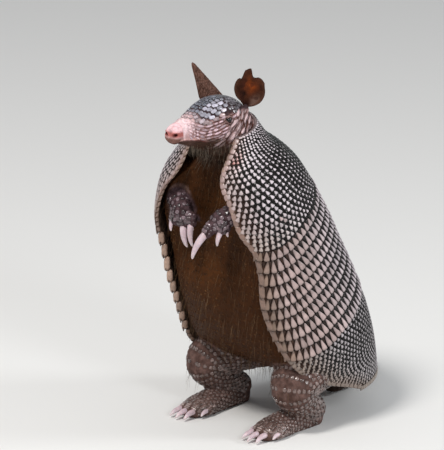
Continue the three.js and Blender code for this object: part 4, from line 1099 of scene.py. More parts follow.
soup = Coat()
for v, fs in flesh:
    soup.add(v, fs, (0.5, 0.5, 0.5))
raw = soup.make("skin_soup", None, uv_name="")
mod = raw.modifiers.new("join", "REMESH")
mod.mode = "VOXEL"
mod.voxel_size = 0.0019
mod.adaptivity = 0.0
dg = bpy.context.evaluated_depsgraph_get()
joined = bpy.data.meshes.new_from_object(raw.evaluated_get(dg))
bpy.data.objects.remove(raw)


def vertex_normals(v, t):
    n = np.cross(v[t[:, 1]] - v[t[:, 0]], v[t[:, 2]] - v[t[:, 0]])
    out = np.stack([sum(np.bincount(t[:, k], weights=n[:, c], minlength=len(v)) for k in range(3)) for c in range(3)], -1)
    return unit(out)


def edges_of(t):
    e = np.sort(np.concatenate([t[:, [0, 1]], t[:, [1, 2]], t[:, [2, 0]]]), axis=1)
    return np.unique(e, axis=0)


def relax(v, e, steps, weight=None, lam=0.5, mu=-0.53):
    deg = np.bincount(e.ravel(), minlength=len(v))[:, None].astype(float)
    w = 1.0 if weight is None else weight[:, None]
    for k in range(steps):
        s = np.stack([np.bincount(e[:, 0], weights=v[e[:, 1], c], minlength=len(v)) + np.bincount(e[:, 1], weights=v[e[:, 0], c], minlength=len(v)) for c in range(3)], -1)
        v = v + (lam if k % 2 == 0 else mu) * w * (s / np.maximum(deg, 1) - v)
    return v


def tube_share(P, pts, rad, n=30):   # distance from a limb's middle line as a share of its radius, and how far along
    ks = np.linspace(0, 1, n)
    c = catmull(pts, ks)
    r = herm(np.arange(len(rad)) / (len(rad) - 1), rad, ks)
    best, where = np.full(len(P), 99.0), np.zeros(len(P))
    for i in range(n):
        d = np.linalg.norm(P - c[i], axis=-1) / r[i]
        m = d < best
        best[m], where[m] = d[m], ks[i]
    return best, where


EYES = {sg: in_head(EYE["u"], sg * (float(herm(HEAD_U, HEAD_A, EYE["u"])) * 0.975 - EYE["sink"]), EYE["w"]) for sg in (1, -1)}


def paw_near(P, far):
    m = np.zeros(len(P), bool)
    for side, pts in PALM.items():
        m |= tube_share(P, pts, PAW[side]["pw"])[0] < far
    for side, r0, d, L, size in FORE_TOES:
        m |= np.linalg.norm(P - r0, axis=1) < size + 6.5
    return m


bm = bmesh.new()
bm.from_mesh(joined)
bpy.data.meshes.remove(joined)


def bm_co():
    bm.verts.ensure_lookup_table()
    return np.array([v.co[:] for v in bm.verts]) * 1000 + ORIGIN


def refine(mask):
    bm.verts.index_update()
    es = [e for e in bm.edges if mask[e.verts[0].index] and mask[e.verts[1].index]]
    bmesh.ops.subdivide_edges(bm, edges=es, cuts=1, use_grid_fill=True)


P = bm_co()
u, v, w = head_of(P)
is_head = (u > -6) & (u < 108) & (w > -34) & (np.abs(v) < 32)
neck_zone = (P[:, 2] > 268) & (P[:, 1] < -60)
refine(is_head | neck_zone | paw_near(P, 1.7))
P = bm_co()
u, v, w = head_of(P)
fine = (u < 12) & (u > -6) & (w > -16)
for sg in (1, -1):
    fine |= np.linalg.norm(P - EYES[sg], axis=1) < 9.5
refine(fine)
bmesh.ops.triangulate(bm, faces=bm.faces[:])
me = bpy.data.meshes.new("tmp")
bm.to_mesh(me)
bm.free()
me.calc_loop_triangles()
V = np.empty(len(me.vertices) * 3)
me.vertices.foreach_get("co", V)
V = V.reshape(-1, 3) * 1000 + ORIGIN
T = np.empty(len(me.loop_triangles) * 3, np.int32)
me.loop_triangles.foreach_get("vertices", T)
T = T.reshape(-1, 3)
bpy.data.meshes.remove(me)
E = edges_of(T)
V = relax(V, E, 12)
print("skin", len(V), len(T))


# folds, wrinkles, nostrils, lids, mouth
def s_of(P):   # the station whose cross ring a point lies on
    ss = np.linspace(-0.02, 1.05, 160)
    f = np.radians(at(TILT, clamp(ss, 0, 1)))
    cy, cz = at(CENTRE_Y, ss), at(CENTRE_Z, ss)
    cy = np.where(ss > 1, at(CENTRE_Y, 1.0) + (ss - 1) * 160, np.where(ss < 0, at(CENTRE_Y, 0.0), cy))
    cz = np.where(ss > 1, at(CENTRE_Z, 1.0) - (ss - 1) * 260, np.where(ss < 0, at(CENTRE_Z, 0.0) - ss * 330, cz))
    g = -(P[:, 1:2] - cy) * np.sin(f) + (P[:, 2:3] - cz) * np.cos(f)   # falls as s grows
    k = np.argmax(g < 0, axis=1)
    k = np.where(g[:, -1] >= 0, len(ss) - 1, np.maximum(k, 1))
    a, b = g[np.arange(len(P)), k - 1], g[np.arange(len(P)), k]
    return ss[k - 1] + (ss[1] - ss[0]) * clamp(a / np.maximum(a - b, 1e-6), 0, 1)


MOUTH = lambda u: herm([0, 5, 9, 20, 33, 40], [-6.0, -4.6, -4.2, -5.8, -8.0, -10.5], u)


def zones(P):
    u, v, w = head_of(P)
    z = {}
    bot = herm(HEAD_U, HEAD_B, clamp(u, 0, 99))
    z["head"] = smooth(bot - 5.5, bot - 1.0, w) * smooth(104, 90, u) * smooth(-8, -5, u) * smooth(240, 262, P[:, 2])
    z["neck"] = (1 - z["head"]) * smooth(262, 280, P[:, 2]) * smooth(-40, -60, P[:, 1])
    arm = np.full(len(P), 9.0)
    for side, pts in FORELEG.items():
        arm = np.minimum(arm, tube_share(P, pts, [20, 17, 13.5, 11])[0])
    paw = np.full(len(P), 9.0)
    for side, pts in PALM.items():
        paw = np.minimum(paw, tube_share(P, pts, PAW[side]["pw"])[0])
    for side, r0, d, L, size in FORE_TOES:
        paw = np.minimum(paw, np.linalg.norm(P - r0, axis=1) / (size + 4.0))
    z["paw"] = smooth(1.35, 1.1, paw)
    z["arm"] = smooth(1.3, 1.08, arm) * (1 - z["paw"])
    leg = np.full(len(P), 9.0)
    for sg in (1, -1):
        leg = np.minimum(leg, tube_share(P, HINDLEG[sg], [29, 29, 22.5, 16.5, 13.5])[0])
        leg = np.minimum(leg, tube_share(P, HINDFOOT[sg], [15, 16, 17, 14])[0])
    z["leg"] = smooth(1.25, 1.02, leg) * smooth(95, 72, P[:, 2])
    tail = tube_share(P, TAIL_POINTS, TAIL_RADII, 60)[0]
    z["tail"] = smooth(1.25, 1.05, tail) * smooth(60, 72, P[:, 1])
    return u, v, w, z


N = vertex_normals(V, T)
u, v, w, Z = zones(V)
S = s_of(V)
disp = np.zeros(len(V))
head, neck = Z["head"], Z["neck"]
# muzzle: a groove behind the nose pad, the lip line, the jaw set in under it
side_face = smooth(2.5, 6.5, np.abs(v))
disp -= head * 0.55 * np.exp(-((u - 9.6 - 0.06 * w) / 0.8) ** 2) * smooth(7.5, 3.0, w)
lip = w - MOUTH(u)
on_mouth = smooth(4.5, 6.5, u) * smooth(41, 34, u)
disp -= head * on_mouth * 1.15 * np.exp(-(lip / 0.75) ** 2)
disp -= head * on_mouth * 0.9 * smooth(0.4, -0.8, lip) * smooth(-9.0, -4.0, lip)
disp += head * on_mouth * 0.45 * np.exp(-((lip - 1.7) / 1.1) ** 2)
# nostrils, each with a raised wing
for sg in (1, -1):
    c = in_head(2.4, sg * 5.6, 2.7)
    D = V - c
    a, b = D @ unit(LEFT * sg * 0.8 - FWD * -0.55), D[:, 2]
    a = D @ LEFT * sg
    r2 = ((a * 0.94 + b * 0.34) / 2.25) ** 2 + ((b * 0.94 - a * 0.34) / 1.35) ** 2
    close = (u < 8) & (np.abs(D @ LEFT) < 6) & (v * sg > 0)
    disp -= close * 2.6 * np.exp(-r2 ** 1.5)
    disp += close * 0.45 * np.exp(-((np.sqrt(r2) - 1.75) / 0.5) ** 2) * smooth(-1.6, 0.6, b)
disp -= 0.5 * (u < 6) * np.exp(-(v / 0.8) ** 2) * smooth(3.5, 0.0, w) * smooth(-8, -5, w)
# cheeks: low wrinkles, under the lumps laid on later
SMILE = lambda u: herm([0, 12, 22, 33, 45, 58, 70, 88, 100], [14, 9, 2, -2.4, -2.2, 0.2, 4.4, 10, 13], u)
cheek = head * smooth(10, 28, u) * smooth(66, 60, u - 0.9 * w) * smooth(14, 8, w - 0.05 * u) * smooth(4, 9, np.abs(v))
warp = (noise(V, 0.12, 3) - 0.5) * 2.6
ROW = 3.1
disp += cheek * 0.34 * np.cos((w - SMILE(u) + warp) * 2 * math.pi / ROW)
disp += head * smooth(12, 26, u) * 0.25 * (noise(V, 0.35, 9) - 0.5)
# neck: deep upright folds behind the cheek, finer ones round the throat
lean = u - 0.9 * w + 1.6 * (noise(V, 0.11, 61) - 0.5)
fold_zone = smooth(62, 66, lean) * smooth(8, 13, np.abs(v)) * smooth(-26, -15, w) * smooth(118, 106, u) * smooth(16, 9, w)
fold = 0.5 + 0.5 * np.cos((lean - 66.2) * 2 * math.pi / 6.9)
fine_fold = 0.5 + 0.5 * np.cos((lean - 66.2 + 1.2 * noise(V, 0.3, 60)) * 2 * math.pi / 3.45)
disp += fold_zone * (1.25 * fold ** 0.8 - 0.8 + 0.42 * (fine_fold - 0.5) + 0.5 * (noise(V, 0.25, 68) - 0.5))
throat = neck * (1 - fold_zone)
disp += throat * 0.7 * np.sin((V[:, 2] + 5 * noise(V, 0.08, 62)) * 2 * math.pi / 6.5)
# chest and belly: rows of low warts across, slack folds
body = (1 - head) * (1 - neck) * (1 - Z["paw"]) * (1 - Z["arm"]) * (1 - Z["leg"]) * (1 - Z["tail"])
row = np.sin((S * 330 + 4 * noise(V, 0.03, 64)) * 2 * math.pi / 9.5)
d1, d2, who = cells(V, 0.30, 66)
disp += body * (0.7 * row + 0.5 * smooth(0.62, 0.15, d1) * smooth(-0.3, 0.6, row) + 0.9 * (noise(V, 0.07, 67) - 0.5))
# limbs: creases
d1, d2, who = cells(V, 0.26, 70)
limb_zone = np.maximum(np.maximum(Z["arm"], Z["leg"]), Z["tail"] * 0.6)
disp += limb_zone * 0.55 * (smooth(0.0, 0.30, d2 - d1) - 0.6)
d1, d2, who = cells(V, 0.42, 71)
disp += Z["paw"] * 0.4 * (smooth(0.0, 0.3, d2 - d1) - 0.6)
V = V + N * disp[:, None]
# the lids: skin stands just clear of the eyeball round an almond opening, and lies behind it inside
lid_dark, lid_highlight = np.zeros(len(V)), np.zeros(len(V))
for sg in (1, -1):
    D = V - EYES[sg]
    n_ = LEFT * sg
    a, b, h = -(D @ FWD), D[:, 2], D @ n_      # back, up, out
    rho = np.sqrt((a / 3.9) ** 2 + ((b + 0.2 * a - 0.1) / 2.5) ** 2)
    close = (np.linalg.norm(D, axis=1) < 11) & (h > -4)
    R = EYE["r"]
    inner = np.sqrt(np.maximum(0.0, (R - 1.0) ** 2 - a * a - b * b)) - 0.8
    outer = np.sqrt(np.maximum(0.2, (R + 0.55) ** 2 - a * a - b * b))
    k_out = smooth(2.35, 1.25, rho)
    ring_fold = 0.35 * np.exp(-((rho - 1.35) / 0.22) ** 2) - 0.5 * np.exp(-((rho - 1.8) / 0.16) ** 2) + 0.3 * np.exp(-((rho - 2.2) / 0.2) ** 2)
    new = np.where(rho < 1, np.minimum(h, inner), mix(h, np.maximum(outer, h * 0.4 + outer * 0.6), k_out) + ring_fold)
    V = np.where(close[:, None], V + n_ * (new - h)[:, None], V)
    # lid_dark: the dark rim of the lids round the opening, and painted shade in the crease outside them
    lid_dark = np.maximum(lid_dark, close * (smooth(1.32, 1.02, rho) + 0.5 * np.exp(-((rho - 1.8) / 0.16) ** 2)))
    # a painted highlight along the ridge of the upper lid
    lid_highlight = np.maximum(lid_highlight, close * np.exp(-((rho - 1.45) / 0.16) ** 2) * smooth(-0.8, 1.0, b + 0.26 * a))
V[:, 2] = np.where((V[:, 2] < 0.7), 0.0, V[:, 2])

# colour
N = vertex_normals(V, T)
nz = lambda sc, sd: noise(V, sc, sd)[:, None]


def lay(c, col, k):
    return mix(c, np.asarray(col), clamp(k, 0, 1)[:, None])


c = np.broadcast_to(rgb(72, 41, 18), V.shape).copy()
c = lay(c, rgb(156, 97, 48), smooth(0.15, 0.45, S) * smooth(0.9, 0.6, S) * (0.35 + 0.8 * noise(V, 0.05, 80)) * (0.7 + 0.6 * noise(V, 0.5, 88)))
# the chest under the shoulder shield is painted darker: painted shade from the shield
c = lay(c, rgb(34, 21, 15), smooth(0.3, 0.08, S) * 0.8)
# painted shade in the troughs between the wart rows, where the skin is sunk
c = lay(c, rgb(44, 25, 14), smooth(0.5, 0.95, 1 - np.abs(row)) * 0.0 + 0.5 * smooth(0.2, -0.8, row))
limb_c = mix(rgb(72, 52, 46), rgb(108, 84, 78), nz(0.3, 81))
c = mix(c, limb_c, clamp(np.maximum(Z["arm"], Z["leg"]), 0, 1)[:, None])
c = mix(c, mix(rgb(48, 33, 34), rgb(92, 72, 76), nz(0.45, 82)), Z["paw"][:, None])
c = mix(c, mix(rgb(70, 62, 58), rgb(104, 92, 84), nz(0.3, 83)), Z["tail"][:, None])
c = mix(c, mix(rgb(64, 42, 30), rgb(38, 23, 15), nz(0.2, 84)), neck[:, None])
hc = np.broadcast_to(rgb(154, 122, 120), V.shape).copy()
fade_in = smooth(9, 40, u + 9 * (noise(V, 0.16, 90) - 0.5) - 0.5 * clamp(w, -4, 12))
# groove: the troughs of the cheek wrinkles, which take painted shade
groove = smooth(0.1, -0.6, np.cos((w - SMILE(u) + warp) * 2 * math.pi / ROW))
hc = lay(hc, rgb(62, 48, 50), smooth(9, 13, w - 0.03 * u) * smooth(24, 34, u))
hc = lay(hc, rgb(224, 194, 196), (1 - fade_in) * smooth(40, 16, u) * smooth(-6, -1, w - MOUTH(u)))
hc = lay(hc, rgb(158, 112, 106), smooth(10, 13, u) * smooth(36, 20, u) * smooth(6.5, 0.5, w) * (0.35 + 0.75 * noise(V, 0.3, 91)) * 0.8)
# painted shade in the wrinkle troughs
hc = lay(hc, rgb(82, 50, 42), cheek * groove * 0.85 * mix(0.25, 1.0, fade_in))
hc = lay(hc, rgb(176, 104, 98), smooth(10.5, 8.5, u) * smooth(-2.5, 2.5, w))
hc = lay(hc, rgb(232, 190, 194), smooth(10.5, 8.5, u) * smooth(4.2, 7.2, w))
hc = lay(hc, rgb(116, 84, 76), smooth(10.5, 8.5, u) * smooth(1.6, -1.6, w))
# below the mouth and on the lower face the skin is painted darker: partly its own brown, partly painted shade under the
# head
jaw = smooth(0.6, -1.6, w - MOUTH(clamp(u, 0, 40)) + 0.05 * (u - 34) * (u > 34)) * smooth(0, 4, u)
hc = lay(hc, rgb(74, 54, 48), jaw * mix(1.0, 0.75, smooth(50, 90, u)))
hc = lay(hc, rgb(62, 43, 34), smooth(-4.0, -10.0, w + 0.05 * (u - 30)) * smooth(24, 34, u) * 0.9)
# a dark red line along the mouth: partly the lips' own colour, partly painted shade in the slit
hc = lay(hc, rgb(120, 52, 48), head * on_mouth * np.exp(-(lip / 0.6) ** 2))
hc = lay(hc, rgb(214, 170, 164), on_mouth * np.exp(-((lip - 1.9) / 1.3) ** 2) * 0.7)
# the nostrils are painted dark red: partly the lining's own colour, partly painted shade in the pits
for sg in (1, -1):
    D = V - in_head(2.4, sg * 5.6, 2.7)
    a = D @ LEFT * sg
    b = D[:, 2]
    r2 = ((a * 0.94 + b * 0.34) / 2.25) ** 2 + ((b * 0.94 - a * 0.34) / 1.35) ** 2
    hc = lay(hc, rgb(58, 12, 10), (u < 8) * np.exp(-(r2 * 0.8) ** 1.3) * 1.35)
# lids: the dark rim and the painted shade in the crease, then the painted highlight on the upper ridge
hc = lay(hc, rgb(46, 30, 26), lid_dark * 0.95)
hc = lay(hc, rgb(182, 154, 154), lid_highlight * 0.8)
hc = hc * (0.85 + 0.3 * nz(0.5, 86))
c = mix(c, hc, head[:, None])
# on the neck folds the crests are painted pale as a painted highlight and the troughs dark as painted shade
folds_c = mix(rgb(72, 44, 36), rgb(184, 158, 160), (clamp(0.55 * fold ** 0.8 + 0.5 * (fine_fold - 0.2), 0, 1) * smooth(0.25, 0.6, noise(V, 0.3, 69)))[:, None])
c = mix(c, folds_c, clamp(fold_zone * np.maximum(neck, head) * smooth(-22, -10, w), 0, 1)[:, None])
c = c * (0.86 + 0.28 * nz(0.9, 87))

# ears: thin curled sheets, the left one torn; part of the same skin
skin = Coat()
uvs = np.stack([0.5 + 0.49 * np.arctan2(V[:, 0], -(V[:, 1] + 60)) / math.pi, 0.02 + 0.96 * clamp(V[:, 2] / 370, 0, 1)], -1)
skin.add(V, [T], c, uvs)


def ear_surface(sg, x, t, out):
    """x across -1..1, t up 0..1, out: distance out of the middle of the sheet, away from the hollow."""
    base, k, m, q, L = ear_frame(sg)
    if sg > 0:
        y = t * mix(1, herm([p[0] for p in TORN], [p[1] for p in TORN], x), smooth(0.3, 1, t))
        h = np.where(x < 0, herm(LEAF_T, LEAF_FRONT, y), herm(LEAF_T, LEAF_BACK, y))
        f = np.radians(herm(LEAF_T, LEAF_WRAP, y))
    else:
        y = t
        h = herm(EAR_T, EAR_H, y) * mix(0.97, 0.79, smooth(0.32, 0.9, y))
        f = np.radians(herm(EAR_T, EAR_WRAP, y))
    R = h / np.sin(np.minimum(f, math.pi / 2))
    rr = R + out
    return base + k * (L * y)[..., None] + m * (R - 5)[..., None] + q * (rr * np.sin(x * f))[..., None] - m * (rr * np.cos(x * f))[..., None]


for sg in (1, -1):
    nx, ny = 72, 60
    x, t = np.meshgrid(np.linspace(-1, 1, nx), np.linspace(0, 1, ny))
    edge = np.minimum(smooth(0, 0.08, 1 - np.abs(x)), smooth(0, 0.05, 1 - t))
    nick = 0.012 * (noise(np.stack([x * 9, t * 9, 0 * x + sg], -1), 1.0, 90) - 0.5) * smooth(0.5, 1, t)
    tt = clamp(t + nick, 0, 1)
    flat = ear_surface(sg, x, tt, 0 * x)
    d1, d2, who = cells(flat, 0.46 if sg < 0 else 0.40, 92)
    pebble = 0.38 * (smooth(0, 0.32, d2 - d1) - 0.5)
    th = mix(0.85, 0.55, t) * edge + 0.12
    outer = ear_surface(sg, x, tt, th + pebble * edge)
    wr = 0.3 * (noise(flat, 0.35, 93) - 0.5) + 0.16 * np.sin(x * 9 + 2 * noise(flat, 0.15, 94))
    inn = ear_surface(sg, x, tt, -th + wr * edge)
    n = nx * ny
    rim = np.concatenate([np.arange(nx), np.arange(1, ny) * nx + nx - 1, (ny - 1) * nx + np.arange(nx - 2, -1, -1), np.arange(ny - 2, 0, -1) * nx])
    nxt = np.roll(rim, -1)
    g = grid_faces(nx, ny)
    faces = [g, (g + n)[:, ::-1], np.stack([rim, nxt, nxt + n, rim + n], -1)[:, ::-1]]
    va = np.concatenate([outer.reshape(-1, 3), inn.reshape(-1, 3)])
    if not normals_out(va - va.mean(0), faces):
        faces = [a[:, ::-1] for a in faces]
    nn = noise(flat, 0.3, 95)[..., None]
    co = mix(rgb(104, 76, 66), rgb(58, 34, 24), (1 - smooth(0, 0.3, d2 - d1))[..., None]) * (0.75 + 0.45 * nn)
    if sg > 0:
        mid = np.exp(-((x - 0.06) / 0.34) ** 2 - ((t - 0.60) / 0.20) ** 2)[..., None]
        ci = mix(rgb(66, 36, 24), rgb(132, 62, 26), clamp(mid * (0.45 + 0.95 * nn), 0, 1))
        ci = mix(ci, rgb(72, 52, 44), (smooth(0.1, 0.7, x) * smooth(0.62, 0.25, t))[..., None])
        ci = mix(ci, rgb(116, 90, 80), (smooth(0.0, 0.5, x) * smooth(0.42, 0.2, t) * 0.6)[..., None])
        # a near-black spot for the hole in the hollow of the ear: painted shade
        ci = mix(ci, rgb(18, 8, 6), np.exp(-((x + 0.30) / 0.20) ** 2 - ((t - 0.36) / 0.07) ** 2)[..., None])
        # the root of the hollow is painted darker: painted shade deep in the curl
        ci = mix(ci, rgb(40, 20, 15), (smooth(0.30, 0.05, t) * smooth(0.9, 0.3, np.abs(x + 0.1)))[..., None])
        ci = mix(ci, rgb(78, 50, 38), (smooth(0.62, 0.9, np.abs(x)) * 0.8)[..., None])
        ci = mix(ci, rgb(50, 26, 20), 0.6 * smooth(0.60, 0.70, noise(flat, 0.22, 97))[..., None])
        ci = mix(ci, rgb(52, 32, 26), (smooth(0.94, 1.0, np.maximum(np.abs(x), t)) * 0.8)[..., None])
    else:
        ci = mix(rgb(70, 40, 32), rgb(120, 66, 46), nn)
        # the root of the hollow is painted darker: painted shade deep in the curl
        ci = mix(ci, rgb(50, 28, 22), smooth(0.5, 0.1, t)[..., None])
    uve = np.stack([0.02 + 0.2 * (x + 1) / 2 + (0.25 if sg > 0 else 0.0), 0.02 + 0.2 * t], -1).reshape(-1, 2)
    skin.add(va, faces, np.concatenate([co.reshape(-1, 3), ci.reshape(-1, 3)]), np.concatenate([uve, uve + [0.5, 0]]))

SKIN = skin.make("hide", M_SKIN)
flesh_nodes = ["trunk", "neck", "head", "head_shield", "ear_left", "ear_right", "foreleg_left", "foreleg_right", "forefoot_left", "forefoot_right",
               "hindleg_left", "hindleg_right", "hindfoot_left", "hindfoot_right", "tail_base", "tail_mid", "tail_tip"]
piece(SKIN, "belly_skin", *flesh_nodes)
from mathutils.bvhtree import BVHTree
SKIN_V, SKIN_T = triangles(SKIN)
TREE = BVHTree.FromPolygons([tuple(p) for p in SKIN_V], [tuple(int(i) for i in t) for t in SKIN_T])
print("hide tris", len(SKIN_T))

# eyes
for name, sg in (("eye_left", 1), ("eye_right", -1)):
    vv, fs = loft_mesh(lambda ang, t, r: EYES[sg] + EYE["r"] * np.stack([np.sin(t * math.pi) * np.sin(ang) * (r > 0), np.sin(t * math.pi) * np.cos(ang) * (r > 0), -np.cos(t * math.pi)], -1), 40, 26)
    e = Coat()
    e.add(vv, fs, rgb(9, 6, 6))
    piece(e.make(name + "_ball", M_EYE, uv_name=""), "eye", name)


# ------------------------------------------------------------------ small scales and lumps laid on the hide
SKIN_N = vertex_normals(SKIN_V, SKIN_T)


def on_skin(P):
    m = len(P)
    Q, Nn, dist = np.empty((m, 3)), np.empty((m, 3)), np.empty(m)
    for i, p in enumerate(np.asarray(P, float).tolist()):
        co, n, idx, d = TREE.find_nearest(p)
        Q[i] = co
        Nn[i] = SKIN_N[SKIN_T[idx]].mean(0)
        dist[i] = d
    return Q, unit(Nn), dist


def skin_pads(coat, P, along, a, b, h, col, edge, tmpl, uv, wob=0.05, reach=2.2, rot=0.0, gloss=0.0, level=None):
    m = len(P)
    if m == 0:
        return
    full = lambda x: np.broadcast_to(np.asarray(x, float), (m,)).copy()
    a, b, h, rot = map(full, (a, b, h, rot))
    col, edge = np.broadcast_to(col, (m, 3)), np.broadcast_to(edge, (m, 3))
    Q, Nn, dist = on_skin(P)
    ok = dist < reach
    Q, Nn, a, b, h, rot, col, edge, uv, along = Q[ok], Nn[ok], a[ok], b[ok], h[ok], rot[ok], col[ok], edge[ok], uv[ok], np.broadcast_to(along, (m, 3))[ok]
    m = len(Q)
    if m == 0:
        return
    t = unit(along - np.einsum("ij,ij->i", along, Nn)[:, None] * Nn)
    s = np.cross(Nn, t)
    ta, tb = tmpl["p"][:, 0], tmpl["p"][:, 1]
    k = len(ta)
    th = np.arctan2(ta, -tb)
    ph = rng.random((m, 3)) * 6.28
    wv = 1 + wob * (np.sin(th[None] * 2 + ph[:, :1]) * 0.6 + np.sin(th[None] * 3 + ph[:, 1:2]) * 0.6 + np.sin(th[None] * 5 + ph[:, 2:3]) * 0.3)
    A, B = ta[None] * a[:, None] * wv, tb[None] * b[:, None] * wv
    cr, sr = np.cos(rot)[:, None], np.sin(rot)[:, None]
    A, B = A * cr - B * sr, A * sr + B * cr
    base_pts = Q[:, None] + s[:, None] * A[..., None] + t[:, None] * B[..., None]
    F, FN, _ = on_skin(base_pts.reshape(-1, 3))
    F, FN = F.reshape(m, k, 3), FN.reshape(m, k, 3)
    up = unit(0.5 * FN + 0.5 * Nn[:, None])
    Vv = F + up * (tmpl["h"][None] * h[:, None])[..., None]
    C = col[:, None] * (1 - tmpl["e"][None, :, None]) + edge[:, None] * tmpl["e"][None, :, None]
    UVs = uv[:, None] + 0.0014 * np.stack([ta, tb], -1)[None]
    off = (np.arange(m) * k)[:, None, None]
    quads, tris = (tmpl["quads"][None] + off).reshape(-1, 4), (tmpl["tris"][None] + off).reshape(-1, 3)
    vv = Vv.reshape(-1, 3)
    if not normals_out(vv[:k] - vv[:k].mean(0), [tmpl["quads"], tmpl["tris"]]):
        quads, tris = quads[:, ::-1], tris[:, ::-1]
    coat.add(vv, [quads, tris], C.reshape(-1, 3), UVs.reshape(-1, 2), gloss)


oct_ = np.linspace(0, 2 * math.pi, 10, endpoint=False)
SOFT_RISE = [(1.0, -0.5, 1.0), (0.97, 0.2, 0.9), (0.82, 0.72, 0.35), (0.5, 1.0, 0.0)]
LUMP = template([(math.sin(t), -math.cos(t)) for t in oct_], SOFT_RISE)
HEXA = template([(0, -1.0), (0.62, -0.84), (0.98, -0.3), (1.0, 0.28), (0.66, 0.82), (0, 1.0), (-0.66, 0.82), (-1.0, 0.28), (-0.98, -0.3), (-0.62, -0.84)], [(1.0, -0.5, 1.0), (1.0, 0.35, 0.85), (0.88, 0.86, 0.3), (0.55, 1.05, 0.0)])
PLATE6 = template([(0.1, -1.0), (0.92, -0.84), (1.0, -0.1), (0.96, 0.76), (0.1, 1.0), (-0.92, 0.86), (-1.0, 0.1), (-0.96, -0.74)], [(1.0, -0.5, 1.0), (1.0, 0.4, 0.85), (0.9, 0.9, 0.25), (0.6, 1.02, 0.0)])


# ---- crown: glossy polygons in rows along the head
def head_angle(u, arc, sg):   # the angle whose distance round the head from the mid-line is arc
    ang = np.linspace(0, math.pi * 0.8, 90)
    out = np.empty(len(u))
    for i in range(len(u)):
        P = head_surface(np.full(90, u[i]), ang * sg)
        t = np.concatenate([[0], np.cumsum(np.linalg.norm(np.diff(P, axis=0), axis=1))])
        out[i] = np.interp(arc[i], t, ang)
    return out


